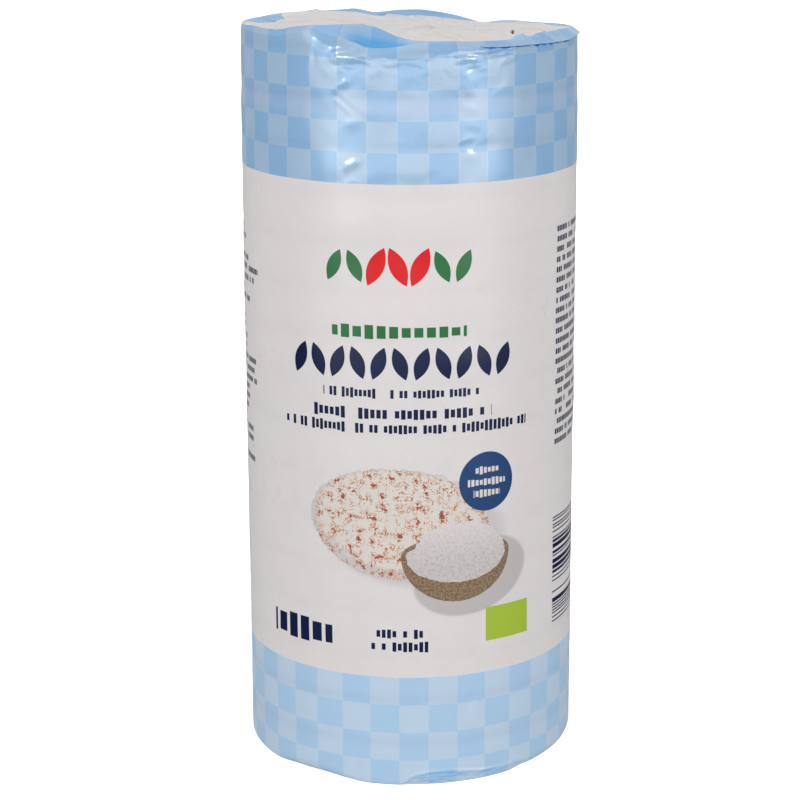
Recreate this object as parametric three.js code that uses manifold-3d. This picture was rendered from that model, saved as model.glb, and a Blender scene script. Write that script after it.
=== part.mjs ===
// A shut roll pack of puffed rice cakes, standing on its end: sixteen round cakes wrapped in one sheet of
// printed plastic film. The film is drawn tight round the stack, lapped and sealed down the back, and folded
// over both ends in pleats that run in to one point. Nothing inside can be seen, so the pack is one solid.
// Millimetres and degrees, +Z up. The origin is the middle of the base, and the printed front faces -Y.

import * as THREE from "three";
import { mergeVertices } from "three/addons/utils/BufferGeometryUtils.js";
import Module from "manifold-3d";

// Driving sizes
const RADIUS = 47.5;
const RIM_HEIGHT = 207;
const CAKE_COUNT = 16;
const CAKE_BULGE = 0.14;
const CAKE_SHIFT = 0.06;

// Columns run round the pack, and rows run along the film from the middle of the base to the middle of the top
const COLUMNS = 96;
const BASE_ROWS = 3;
const EDGE_ROWS = 3;
const WALL_ROWS_PER_CAKE = 2;
const SWEEP_ROWS = 3;
const TOP_ROWS = 11;

// Top end: the white film lies in a shallow dish inside the collar, gathered in pleats towards one point.
// It stands higher by the swell, where the film is slack over the top cake's edge.
const DISH_HEIGHT = 0.9;
const DISH_REACH = 7;
const GATHER = { x: 7, y: 3 };
const PLEAT_COUNT = 12;
const PLEAT_DEPTH = 0.5;
const SWELL = { x: -27, y: 26, height: 2, reach: 15 };

// The lapped seam down the back
const BACK_SEAM_WIDTH = 12;
const BACK_SEAM_PROUD = 0.6;
const BACK_SEAM_LOW = 6;
const BACK_SEAM_HIGH = 202;
const SEAM_ROOT = 1.5;

const FILM_COLOUR = 0xbdd2e6;

// The collar that the folded film makes round the top end, at stations round the rim. turn is measured from
// the front towards the right. The wall ends drop below the crease, folds inwards at the crease, and the film
// then climbs to the crest, where the printed blue ends. Heights are above RIM_HEIGHT and insets are inwards
// from RADIUS. tuck is how far the film runs in under the crease where it is folded back over itself.
const COLLAR = [
  { turn: -180, drop: 2.4, crease: 0.5, creaseIn: 0.9, crest: 2.1, crestIn: 1.8, tuck: 0 },
  { turn: -168, drop: 2.4, crease: 0.0, creaseIn: 0.9, crest: 1.5, crestIn: 1.8, tuck: 0 },
  { turn: -157, drop: 2.2, crease: 0.9, creaseIn: 0.9, crest: 2.6, crestIn: 1.7, tuck: 0 },
  { turn: -134, drop: 2.0, crease: 1.2, creaseIn: 0.8, crest: 2.8, crestIn: 1.7, tuck: 0 },
  { turn: -110, drop: 2.0, crease: 1.2, creaseIn: 0.8, crest: 2.8, crestIn: 1.7, tuck: 0 },
  { turn: -88, drop: 1.8, crease: 1.6, creaseIn: 0.5, crest: 3.0, crestIn: 1.3, tuck: 0 },
  { turn: -64, drop: 1.5, crease: 2.2, creaseIn: 0.4, crest: 3.7, crestIn: 1.4, tuck: 0 },
  { turn: -51, drop: 1.5, crease: 2.0, creaseIn: 0.4, crest: 3.7, crestIn: 1.3, tuck: 0 },
  { turn: -43, drop: 1.5, crease: 3.2, creaseIn: 0.4, crest: 4.8, crestIn: 1.5, tuck: 0 },
  { turn: -36, drop: 3.0, crease: 4.6, creaseIn: 0.7, crest: 5.5, crestIn: 2.0, tuck: 0 },
  { turn: -28, drop: 4.5, crease: 3.4, creaseIn: 1.5, crest: 5.7, crestIn: 4.2, tuck: 0 },
  { turn: -18, drop: 3.6, crease: 1.1, creaseIn: 2.1, crest: 6.0, crestIn: 6.1, tuck: 0 },
  { turn: -11, drop: 3.3, crease: 0.1, creaseIn: 2.5, crest: 4.7, crestIn: 5.6, tuck: 0.2 },
  { turn: -4, drop: 3.6, crease: 0.6, creaseIn: 2.5, crest: 2.8, crestIn: 4.9, tuck: 0.3 },
  { turn: 6, drop: 4.0, crease: 1.3, creaseIn: 2.1, crest: 1.9, crestIn: 3.2, tuck: 0.2 },
  { turn: 20, drop: 3.3, crease: 0.8, creaseIn: 1.1, crest: 1.5, crestIn: 3.4, tuck: 0.5 },
  { turn: 28, drop: 2.0, crease: 0.0, creaseIn: -0.2, crest: 1.3, crestIn: 3.7, tuck: 1.5 },
  { turn: 38, drop: 1.8, crease: 0.0, creaseIn: -0.4, crest: 1.4, crestIn: 4.2, tuck: 1.9 },
  { turn: 43, drop: 1.8, crease: -0.1, creaseIn: -0.4, crest: 2.4, crestIn: 4.3, tuck: 1.9 },
  { turn: 48, drop: 1.8, crease: -0.2, creaseIn: -0.4, crest: 1.6, crestIn: 4.2, tuck: 1.9 },
  { turn: 56, drop: 1.8, crease: -0.3, creaseIn: -0.4, crest: 2.3, crestIn: 3.9, tuck: 1.9 },
  { turn: 70, drop: 1.9, crease: -0.2, creaseIn: -0.3, crest: 2.1, crestIn: 3.1, tuck: 1.8 },
  { turn: 85, drop: 2.1, crease: -0.2, creaseIn: 0.0, crest: 1.6, crestIn: 1.8, tuck: 1.3 },
  { turn: 105, drop: 2.0, crease: -0.7, creaseIn: 0.7, crest: 0.8, crestIn: 1.7, tuck: 0 },
  { turn: 128, drop: 2.0, crease: -1.5, creaseIn: 0.8, crest: 0.0, crestIn: 1.7, tuck: 0 },
  { turn: 142, drop: 2.0, crease: -1.8, creaseIn: 0.8, crest: -0.2, crestIn: 1.8, tuck: 0 },
  { turn: 151, drop: 2.0, crease: -2.6, creaseIn: 0.9, crest: -1.2, crestIn: 1.8, tuck: 0 },
  { turn: 160, drop: 2.0, crease: -1.2, creaseIn: 0.9, crest: 0.4, crestIn: 1.8, tuck: 0 },
  { turn: 170, drop: 2.3, crease: 0.2, creaseIn: 0.9, crest: 1.7, crestIn: 1.8, tuck: 0 },
];

// The radius of the rounded lower edge, at stations round the base, where the film is folded under
const BASE_EDGE = [
  { turn: -180, edge: 2.0 },
  { turn: -120, edge: 2.4 },
  { turn: -90, edge: 1.4 },
  { turn: -57, edge: 1.4 },
  { turn: -39, edge: 4.6 },
  { turn: -15, edge: 1.0 },
  { turn: 22, edge: 0.8 },
  { turn: 35, edge: 1.6 },
  { turn: 52, edge: 4.8 },
  { turn: 70, edge: 2.6 },
  { turn: 110, edge: 2.4 },
  { turn: 145, edge: 3.2 },
];

// A smooth closed curve of one value through the stations, read at a turn from -180 to 180
function around(stations, key, turn) {
  const count = stations.length;
  const place = (i) => stations[((i % count) + count) % count].turn + 360 * Math.floor(i / count);
  const value = (i) => stations[((i % count) + count) % count][key];
  let i = 0;
  while (place(i + 1) <= turn) i += 1;
  const span = place(i + 1) - place(i);
  const t = (turn - place(i)) / span;
  const slope = (j) => (value(j + 1) - value(j - 1)) / (place(j + 1) - place(j - 1));
  const t2 = t * t;
  const t3 = t2 * t;
  return (
    (2 * t3 - 3 * t2 + 1) * value(i) +
    (t3 - 2 * t2 + t) * span * slope(i) +
    (3 * t2 - 2 * t3) * value(i + 1) +
    (t3 - t2) * span * slope(i + 1)
  );
}

const mix = (a, b, t) => a + (b - a) * t;
const smooth = (t) => t * t * (3 - 2 * t);
const radians = THREE.MathUtils.degToRad;

// Each cake sits a little off the axis, in a direction that turns from one cake to the next
function cakeShift(cake, turn) {
  const towards = 137.5 * cake;
  return CAKE_SHIFT * Math.sin(2.3 * cake) * Math.cos(radians(turn - towards));
}

// Radius of the taut film at a height, over the rounded edges of the stacked cakes
function wallRadius(turn, height) {
  const level = THREE.MathUtils.clamp((height / RIM_HEIGHT) * CAKE_COUNT, 0, CAKE_COUNT - 0.001);
  const cake = Math.floor(level);
  const within = level - cake;
  const crown = CAKE_BULGE * (Math.sin(Math.PI * within) - 0.5);
  const next = Math.min(cake + 1, CAKE_COUNT - 1);
  const shift = mix(cakeShift(cake, turn), cakeShift(next, turn), smooth(within));
  return RADIUS + crown + shift;
}

// Height of the white film inside the collar, at a place and at its turn round the gathering point
function dishHeight(x, y, turn) {
  const share = (((turn + 180) * PLEAT_COUNT) / 360) % 1;
  const pleat = share < 0.75 ? share / 0.75 : (1 - share) / 0.25;
  const away = Math.hypot(x - SWELL.x, y - SWELL.y) / SWELL.reach;
  const grown = smooth(Math.min(1, Math.hypot(x - GATHER.x, y - GATHER.y) / 12));
  return RIM_HEIGHT + DISH_HEIGHT + PLEAT_DEPTH * pleat * grown + SWELL.height * Math.exp(-away * away);
}

// One column of the film, as [x, y, z] points from the middle of the base to the middle of the top
function column(turn) {
  const at = (key) => around(COLLAR, key, turn);
  const edge = around(BASE_EDGE, "edge", turn);
  const crease = [RADIUS - at("creaseIn"), RIM_HEIGHT + at("crease")];
  const crest = [RADIUS - at("crestIn"), RIM_HEIGHT + at("crest")];
  const wallTop = crease[1] - at("drop");
  const east = Math.sin(radians(turn));
  const south = -Math.cos(radians(turn));
  const points = [];
  const add = (radius, height) => points.push([radius * east, radius * south, height]);

  for (let i = 0; i < BASE_ROWS; i += 1) add(((RADIUS - edge) * i) / BASE_ROWS, 0);
  for (let i = 0; i < EDGE_ROWS; i += 1) {
    const a = ((Math.PI / 2) * i) / EDGE_ROWS;
    add(wallRadius(turn, edge) - edge * (1 - Math.sin(a)), edge * (1 - Math.cos(a)));
  }
  const wallRows = CAKE_COUNT * WALL_ROWS_PER_CAKE;
  for (let i = 0; i <= wallRows; i += 1) {
    const height = mix(edge, wallTop, i / wallRows);
    add(wallRadius(turn, height), height);
  }
  const foot = wallRadius(turn, wallTop);
  add(mix(foot, crease[0], 0.35) - at("tuck") * 0.5, mix(wallTop, crease[1], 0.45));
  add(mix(foot, crease[0], 0.7) - at("tuck"), mix(wallTop, crease[1], 0.72));
  for (let i = 0; i <= SWEEP_ROWS; i += 1) {
    const t = i / SWEEP_ROWS;
    add(mix(crease[0], crest[0], Math.sqrt(t)), mix(crease[1], crest[1], t ** 1.3));
  }
  const [crestX, crestY] = [crest[0] * east, crest[0] * south];
  const reach = Math.hypot(crestX - GATHER.x, crestY - GATHER.y);
  for (let i = 1; i <= TOP_ROWS; i += 1) {
    const share = (i / TOP_ROWS) ** 1.25;
    const x = mix(crestX, GATHER.x, share);
    const y = mix(crestY, GATHER.y, share);
    const sunk = smooth(Math.min(1, (reach * share) / DISH_REACH));
    points.push([x, y, mix(crest[1], dishHeight(x, y, turn), sunk)]);
  }
  return points;
}

// The film over the whole stack: a lathe of as many rows as a column has, with each column then drawn to
// its own folds
function wrapGeometry() {
  const middle = column(0);
  const rows = middle.length;
  const profile = middle.map(([, y, z]) => new THREE.Vector2(Math.abs(y), z));
  profile[0].x = 0;
  profile[rows - 1].x = 0;
  const geometry = new THREE.LatheGeometry(profile, COLUMNS);
  const position = geometry.getAttribute("position");
  for (let c = 0; c <= COLUMNS; c += 1) {
    const turn = -180 + (360 * (c % COLUMNS)) / COLUMNS;
    column(turn).forEach(([x, y, z], row) => position.setXYZ(c * rows + row, x, y, z));
  }
  return geometry;
}

// The lapped seam down the back: a strip that follows the wall
function backSeamGeometry() {
  const half = BACK_SEAM_WIDTH / 2 / RADIUS;
  const middle = Math.PI / 2;
  const outline = new THREE.Shape();
  outline.absarc(0, 0, RADIUS + BACK_SEAM_PROUD, middle - half, middle + half, false);
  outline.absarc(0, 0, RADIUS - SEAM_ROOT, middle + half, middle - half, true);
  const depth = BACK_SEAM_HIGH - BACK_SEAM_LOW;
  const geometry = new THREE.ExtrudeGeometry(outline, { depth, bevelEnabled: false, curveSegments: 4 });
  return geometry.translate(0, 0, BACK_SEAM_LOW);
}

const wasm = await Module();
wasm.setup();

// A closed geometry as a solid that can be joined to another
function solidFrom(geometry) {
  const bare = new THREE.BufferGeometry();
  bare.setAttribute("position", geometry.getAttribute("position"));
  bare.setIndex(geometry.getIndex());
  const merged = mergeVertices(bare, 1e-3);
  const triVerts = new Uint32Array(merged.index.array);
  const vertProperties = new Float32Array(merged.getAttribute("position").array);
  return new wasm.Manifold(new wasm.Mesh({ numProp: 3, vertProperties, triVerts }));
}

// A joined solid as a geometry that three.js draws
function geometryFrom(solid) {
  const mesh = solid.getMesh();
  const geometry = new THREE.BufferGeometry();
  geometry.setAttribute("position", new THREE.BufferAttribute(mesh.vertProperties, 3));
  geometry.setIndex(new THREE.BufferAttribute(mesh.triVerts, 1));
  geometry.computeVertexNormals();
  return geometry;
}

const wrapped = solidFrom(wrapGeometry()).add(solidFrom(backSeamGeometry()));
const film = new THREE.MeshStandardMaterial({ color: FILM_COLOUR, roughness: 0.3, metalness: 0 });
const pack = new THREE.Mesh(geometryFrom(wrapped), film);
pack.name = "pack";

const ricePack = new THREE.Group();
ricePack.add(pack);

export default ricePack;
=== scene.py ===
"""A shut roll pack of puffed rice cakes, wrapped in printed plastic film and standing on its end.

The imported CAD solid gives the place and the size. This script dresses it with the film: a wrap that shows
each stacked cake, the folded collar at the top end, the gathered white film inside it, the seam down the
back, and a pale blue check print with a white band round the middle.

Sizes in this file are millimetres and turn angles are degrees, measured from the front towards the right.
"""

import logging
import math
from collections.abc import Sequence
from dataclasses import dataclass, field
from enum import Enum

import bpy
import numpy as np
from mathutils import Matrix, Vector, noise


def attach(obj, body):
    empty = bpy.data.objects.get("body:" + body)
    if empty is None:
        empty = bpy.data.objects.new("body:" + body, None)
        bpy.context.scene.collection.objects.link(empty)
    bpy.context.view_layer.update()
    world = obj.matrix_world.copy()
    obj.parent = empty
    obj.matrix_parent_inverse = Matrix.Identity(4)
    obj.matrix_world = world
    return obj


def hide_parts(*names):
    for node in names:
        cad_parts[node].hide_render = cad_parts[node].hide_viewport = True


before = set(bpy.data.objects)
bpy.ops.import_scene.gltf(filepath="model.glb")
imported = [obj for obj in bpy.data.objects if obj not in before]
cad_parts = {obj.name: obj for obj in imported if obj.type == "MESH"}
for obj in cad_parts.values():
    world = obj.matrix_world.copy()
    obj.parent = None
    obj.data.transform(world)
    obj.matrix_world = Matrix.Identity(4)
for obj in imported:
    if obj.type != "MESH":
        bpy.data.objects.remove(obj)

log = logging.getLogger("rice_pack")

MM = 0.001

# What the frame calls the body, and the solid that these pieces stand in for
BODY = "root"
NODE = "pack"

# The roll of cakes in the film
RADIUS = 47.5
RIM = 207.0
CAKES = 16
CAKE_PITCH = RIM / CAKES

# The check: the cells round the pack, one cell's size, and the share of a cell that it starts off the front
CELLS_ROUND = 36
CHECK = math.tau * RADIUS / CELLS_ROUND
CHECK_START = 0.524

PRINT_MIDDLE = 101.97
WHITE_HALF = 8.377 * CHECK
BLUE_END = 13.377 * CHECK

# What the film's mesh calls its print coordinates and its marks
PRINT_MAP = "print_map"
# The loose mark: film that hangs free of the cakes, together with painted shade in the collar's hollow,
# under the folds and at the foot
LOOSE_AND_SHADE = "loose_film_and_shade"
# The torn mark: painted shadow inside the tears in the end film
TORN_SHADOW = "torn_film_shadow"


def srgb(red: int, green: int, blue: int) -> tuple[float, float, float, float]:
    """A screen colour as the linear colour that a shader takes.

    Args:
        red: Red, 0 to 255.
        green: Green, 0 to 255.
        blue: Blue, 0 to 255.

    Returns:
        The linear colour with full alpha.
    """
    shares = (red / 255, green / 255, blue / 255)
    linear = [((c + 0.055) / 1.055) ** 2.4 if c > 0.04 else c / 12.92 for c in shares]
    return (*linear, 1.0)


def smooth(t: np.ndarray) -> np.ndarray:
    """An ease from 0 to 1 as t goes from 0 to 1, flat outside it."""
    t = np.clip(t, 0, 1)
    return t * t * (3 - 2 * t)


def mix(a: np.ndarray, b: np.ndarray, t: np.ndarray) -> np.ndarray:
    """The value a share t of the way from a to b."""
    return a + (b - a) * t


def bell(distance: np.ndarray, reach: float) -> np.ndarray:
    """A rounded hump that is 1 at no distance and fades over reach."""
    return np.exp(-((distance / reach) ** 2))


def ripple(spots: np.ndarray, size: float, seed: float = 0.0) -> np.ndarray:
    """Smooth random ups and downs over points, about size apart.

    Args:
        spots: Points, with their coordinates along the last axis.
        size: How far apart the ups and downs are.
        seed: Picks one pattern.

    Returns:
        A value for each point, about -0.6 to 0.6.
    """
    flat = (spots / size + seed).reshape(-1, 3).tolist()
    return np.array([noise.noise(p) for p in flat]).reshape(spots.shape[:-1])


def ridges(spots: np.ndarray, size: float, seed: float, sharp: float = 3.0) -> np.ndarray:
    """Thin random ridges over points, along the lines where a ripple changes its sign.

    Args:
        spots: Points, with their coordinates along the last axis.
        size: How far apart the ripple's ups and downs are.
        seed: Picks one pattern.
        sharp: How thin the ridges are.

    Returns:
        A value for each point, from 0 to 1 on a ridge's line.
    """
    return np.clip(1 - sharp * np.abs(ripple(spots, size, seed)), 0, 1) ** 2


def around(turn: np.ndarray, radius: np.ndarray, height: np.ndarray) -> np.ndarray:
    """Points at a turn, a radius and a height."""
    angle = np.radians(turn)
    return np.stack(np.broadcast_arrays(radius * np.sin(angle), -radius * np.cos(angle), height), -1)


class Ring:
    """A smooth closed curve of one value round the pack, drawn through stations without overshooting."""

    def __init__(self, turns: Sequence[float], values: Sequence[float]) -> None:
        """Sorts the stations and finds each one's slope.

        Args:
            turns: Where each station is, in degrees.
            values: The value at each station.
        """
        order = np.argsort(turns)
        self.turns = np.asarray(turns, float)[order]
        self.values = np.asarray(values, float)[order]
        places = np.concatenate([self.turns[-2:] - 360, self.turns, self.turns[:2] + 360])
        heights = np.concatenate([self.values[-2:], self.values, self.values[:2]])
        spans = np.diff(places)
        rises = np.diff(heights) / spans
        before, after = rises[:-1], rises[1:]
        weight_a, weight_b = 2 * spans[1:] + spans[:-1], spans[1:] + 2 * spans[:-1]
        with np.errstate(divide="ignore", invalid="ignore"):
            blend = (weight_a + weight_b) / (weight_a / before + weight_b / after)
        slopes = np.where(before * after > 0, blend, 0.0)
        self.places, self.heights, self.slopes = places[1:-1], heights[1:-1], slopes

    def at(self, turn: np.ndarray) -> np.ndarray:
        """The curve's value at each turn.

        Args:
            turn: Angles in degrees, of any size.

        Returns:
            The values, in the shape of turn.
        """
        turn = (turn - self.places[0]) % 360 + self.places[0]
        i = np.clip(np.searchsorted(self.places, turn, side="right") - 1, 0, len(self.places) - 2)
        span = self.places[i + 1] - self.places[i]
        t = (turn - self.places[i]) / span
        t2, t3 = t * t, t * t * t
        ends = (2 * t3 - 3 * t2 + 1) * self.heights[i] + (3 * t2 - 2 * t3) * self.heights[i + 1]
        return ends + span * ((t3 - 2 * t2 + t) * self.slopes[i] + (t3 - t2) * self.slopes[i + 1])


@dataclass(frozen=True)
class Rise:
    """An ease from 0 to 1 that sets in at one place and is complete a reach further on.

    Attributes:
        start: Where it sets in, as a height or a turn.
        reach: How far on it is complete, less than nothing where it runs back from its start.
    """

    start: float
    reach: float

    def at(self, place: np.ndarray) -> np.ndarray:
        """The ease at each place."""
        return smooth((place - self.start) / self.reach)


@dataclass(frozen=True)
class Patch:
    """A small patch of film with a soft edge, round one turn and one level.

    Attributes:
        turn: The turn of its middle.
        width: How far it reaches to each side, in degrees.
        level: The level of its middle: a height, or a share of the collar's height.
        tall: How far it reaches up and down, in the same measure.
    """

    turn: float
    width: float
    level: float
    tall: float

    def at(self, turn: np.ndarray, level: np.ndarray) -> np.ndarray:
        """How fully it covers each place, from 0 to 1."""
        return bell(turn - self.turn, self.width) * bell(level - self.level, self.tall)


@dataclass(frozen=True)
class Mound:
    """A round swelling of the film inside the collar, or a hollow where its lift is less than nothing."""

    x: float
    y: float
    lift: float
    reach: float

    def stand(self, x: np.ndarray, y: np.ndarray) -> np.ndarray:
        """How far it lifts points."""
        return self.lift * bell(np.hypot(x - self.x, y - self.y), self.reach)


@dataclass(frozen=True)
class Fold:
    """A straight ridge pressed into the film from one place to another.

    Attributes:
        x0: Where it starts, across.
        y0: Where it starts, up.
        x1: Where it ends, across.
        y1: Where it ends, up.
        lift: How far it stands out, less than nothing for a groove.
        width: How far it reaches from its line.
    """

    x0: float
    y0: float
    x1: float
    y1: float
    lift: float
    width: float

    def distance(self, x: np.ndarray, y: np.ndarray) -> np.ndarray:
        """How far points lie from the ridge's line."""
        dx, dy = self.x1 - self.x0, self.y1 - self.y0
        share = np.clip(((x - self.x0) * dx + (y - self.y0) * dy) / (dx * dx + dy * dy), 0, 1)
        return np.hypot(x - self.x0 - share * dx, y - self.y0 - share * dy)

    def stand(self, x: np.ndarray, y: np.ndarray) -> np.ndarray:
        """How far the ridge lifts points out of the film: it is steep above its line and easy below it."""
        above = (self.x1 - self.x0) * (y - self.y0) > (self.y1 - self.y0) * (x - self.x0)
        return self.lift * bell(self.distance(x, y), self.width * np.where(above, 0.75, 1.5))


# Ridges on the front of the wall: millimetres of film to the right of the front, and height
WALL_FOLDS = (
    Fold(-20.5, 204.9, -12.8, 205.1, 0.42, 0.9),
    Fold(-20.8, 206.5, -16.0, 206.5, 0.16, 0.5),
    Fold(-3.9, 206.3, 0.0, 206.6, 0.26, 0.7),
    Fold(-4.0, 204.7, -1.5, 204.6, 0.16, 0.6),
    Fold(12.8, 204.7, 17.4, 204.5, 0.2, 0.7),
    Fold(17.8, 206.6, 21.0, 206.1, 0.26, 0.7),
    Fold(21.0, 205.4, 27.5, 205.7, -0.35, 0.8),
    Fold(22.5, 203.9, 28.5, 204.6, 0.14, 0.8),
    Fold(-20.3, 197.2, -18.2, 198.4, 0.16, 0.8),
    Fold(-21.2, 196.0, -12.5, 190.6, 0.07, 0.8),
    Fold(-20.9, 193.6, -17.0, 190.6, 0.09, 0.6),
    Fold(-17.8, 187.4, -14.8, 188.2, 0.06, 0.9),
    Fold(-17.8, 176.2, -15.2, 177.5, 0.17, 0.8),
    Fold(-18.4, 171.5, -16.3, 172.3, 0.08, 0.8),
    Fold(14.2, 201.4, 15.8, 198.4, 0.17, 2.3),
    Fold(13.7, 192.2, 16.6, 191.4, 0.08, 1.1),
    Fold(14.8, 187.3, 17.6, 186.8, 0.05, 0.9),
    Fold(13.9, 183.1, 15.6, 183.6, 0.07, 0.8),
    Fold(14.9, 179.2, 17.3, 178.6, 0.09, 1.1),
    Fold(14.0, 169.0, 16.2, 168.3, 0.12, 1.6),
    Fold(14.7, 160.0, 16.1, 159.4, 0.14, 1.8),
    Fold(24.4, 200.5, 27.0, 199.9, 0.06, 1.0),
    Fold(23.0, 195.0, 26.4, 196.9, 0.06, 0.9),
    Fold(-28.2, 211.0, -28.7, 203.0, 0.1, 0.8),
    Fold(16.6, 20.5, 20.3, 27.5, 0.16, 0.9),
    Fold(15.2, 21.5, 18.0, 27.0, -0.08, 1.2),
)

# Ridges, swellings and tears in the film inside the collar, by place from the axis
END_FOLDS = (
    Fold(-30.0, 30.0, -13.3, 17.0, 0.45, 0.9),
    Fold(-17.5, 15.9, -12.6, 15.6, 0.5, 0.7),
    Fold(-5.4, 29.0, 1.4, 20.4, 0.6, 0.8),
    Fold(1.4, 20.4, 13.0, 15.0, 0.25, 0.9),
    Fold(9.3, 11.4, 17.5, 5.6, 0.6, 0.8),
    Fold(16.2, 2.9, 18.4, -20.4, 0.35, 0.7),
    Fold(14.4, -26.2, 23.5, -31.4, 0.55, 1.2),
    Fold(25.8, -28.0, 29.0, -12.1, 0.6, 0.8),
    Fold(29.0, -12.1, 31.0, -7.0, 0.5, 0.8),
    Fold(31.0, -7.0, 43.0, -7.2, 0.4, 0.9),
    Fold(-37.0, 2.8, -22.0, 9.5, 0.35, 0.8),
    Fold(-34.0, -12.0, -6.0, -4.0, 0.3, 0.8),
    Fold(-28.0, -24.0, -2.0, -14.0, 0.28, 0.9),
    Fold(8.4, -24.5, 11.9, -33.0, 0.35, 0.6),
    Fold(-20.0, 4.0, -2.0, -2.0, -0.3, 0.9),
    Fold(20.0, 14.0, 36.0, 2.0, -0.3, 0.8),
    Fold(-2.0, -20.0, 12.0, -12.0, -0.25, 0.8),
)

MOUNDS = (
    Mound(-27.0, 26.0, 2.0, 15.0),
    Mound(26.0, -26.0, 0.5, 9.0),
    Mound(27.0, 38.0, -2.6, 16.0),
)

# Tears in the end film: sunk as pits, and painted dark inside as painted shadow
TEARS = (
    Fold(26.9, -25.6, 27.4, -22.6, 1.0, 0.75),
    Fold(27.4, -22.6, 28.0, -17.8, 1.0, 0.36),
    Fold(9.2, -26.0, 11.4, -32.0, 0.8, 0.3),
)

# Small crumpled or shining places: one high on the wall, painted deeper blue in part as painted shade, and
# two on the collar's front
CRUMPLED = Patch(29.5, 4.5, 205.6, 0.9)
GLINTS = (Patch(-19.0, 1.6, 0.1, 0.06), Patch(-7.5, 2.4, 0.2, 0.07))

# The fold at the front of the foot: turns, and its height at each
FOOT_FOLD = (
    (-8.0, -2.9, 0.5, 5.6, 12.6, 21.6, 31.5, 38.0, 52.0),
    (-1.0, 0.9, 2.7, 3.5, 3.6, 2.6, 2.2, 2.6, -0.5),
)


@dataclass(frozen=True)
class Crest:
    """Where the collar's crest stands at one turn: the line where the printed film folds over inwards.

    Attributes:
        turn: The turn.
        lift: How far above the rim it stands.
        inset: How far inside the roll's radius it stands.
        over: How much printed film lies beyond it, inside the collar.
    """

    turn: float
    lift: float
    inset: float
    over: float = 0.0


@dataclass(frozen=True)
class Crease:
    """Where the wall's film is first folded inwards at one turn, and how.

    Attributes:
        turn: The turn.
        lift: How far above the rim the crease stands.
        inset: How far inside the roll's radius it stands.
        drop: How far below it the wall's top is.
        tuck: How far the film is tucked in under it.
        slack: How slack and crumpled the film is there, 0 to 1.
    """

    turn: float
    lift: float
    inset: float
    drop: float
    tuck: float = 0.0
    slack: float = 0.0


CRESTS = (
    Crest(-180, 2.1, 1.8, 7.5),
    Crest(-177, 2.05, 1.8, 6.5),
    Crest(-172, 1.65, 1.8, 6.0),
    Crest(-168, 1.5, 1.8, 9.5),
    Crest(-163.5, 2.25, 1.8, 10.5),
    Crest(-159.5, 2.75, 1.7, 10.5),
    Crest(-155.5, 2.6, 1.7, 9.5),
    Crest(-149, 2.6, 1.7, 2.0),
    Crest(-143.5, 2.7, 1.7, -0.8),
    Crest(-134, 2.85, 1.7, -0.9),
    Crest(-130, 2.9, 1.7, 0.2),
    Crest(-123, 2.9, 1.7, 2.2),
    Crest(-113, 2.8, 1.7, 7.0),
    Crest(-98, 3.0, 1.2, 3.5),
    Crest(-87, 3.0, 0.75, 0.3),
    Crest(-76.5, 3.2, 0.8),
    Crest(-64.5, 3.75, 0.8),
    Crest(-57.5, 3.6, 0.8),
    Crest(-51, 3.7, 0.8),
    Crest(-47, 4.05, 0.9),
    Crest(-43, 4.8, 1.0),
    Crest(-38.5, 5.3, 1.2),
    Crest(-35.5, 5.55, 2.0),
    Crest(-32.5, 5.55, 2.9),
    Crest(-28.5, 5.7, 4.1),
    Crest(-25.5, 5.8, 4.7),
    Crest(-20.8, 5.9, 5.6),
    Crest(-18, 6.0, 6.2),
    Crest(-16.8, 5.8, 6.1),
    Crest(-13.3, 5.3, 5.8),
    Crest(-10.3, 4.5, 5.6),
    Crest(-7.4, 3.6, 5.3),
    Crest(-3.7, 2.7, 4.8),
    Crest(0, 2.1, 4.2),
    Crest(3.2, 1.85, 3.7),
    Crest(8, 1.8, 3.0),
    Crest(12, 1.8, 3.1),
    Crest(21, 1.45, 3.4),
    Crest(26, 1.35, 3.6),
    Crest(33, 1.2, 4.0),
    Crest(37, 1.2, 4.2),
    Crest(39.5, 1.9, 4.3),
    Crest(43, 2.5, 4.3),
    Crest(45.5, 1.95, 4.3),
    Crest(48, 1.5, 4.2),
    Crest(51.5, 2.15, 4.1),
    Crest(54, 2.2, 4.0),
    Crest(55.8, 2.6, 4.0),
    Crest(58, 2.1, 3.9),
    Crest(63.5, 2.2, 3.6),
    Crest(71, 2.1, 3.1),
    Crest(80, 1.8, 2.2),
    Crest(86, 1.6, 1.8, 1.0),
    Crest(96, 1.1, 1.7, 4.0),
    Crest(105.5, 0.8, 1.7, 6.5),
    Crest(118.5, 0.25, 1.7, 7.5),
    Crest(127, 0.0, 1.7, 6.0),
    Crest(130, -0.05, 1.7, 2.5),
    Crest(136.5, 0.0, 1.7, -0.8),
    Crest(142, -0.25, 1.8, -0.8),
    Crest(147, -0.8, 1.8, -0.5),
    Crest(150.5, -1.2, 1.8, 0.2),
    Crest(155.5, -0.45, 1.8, 4.0),
    Crest(160, 0.4, 1.8, 6.0),
    Crest(165.5, 1.2, 1.8, 7.0),
    Crest(171, 1.8, 1.8, 7.0),
    Crest(175.5, 2.15, 1.8, 7.0),
)

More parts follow.
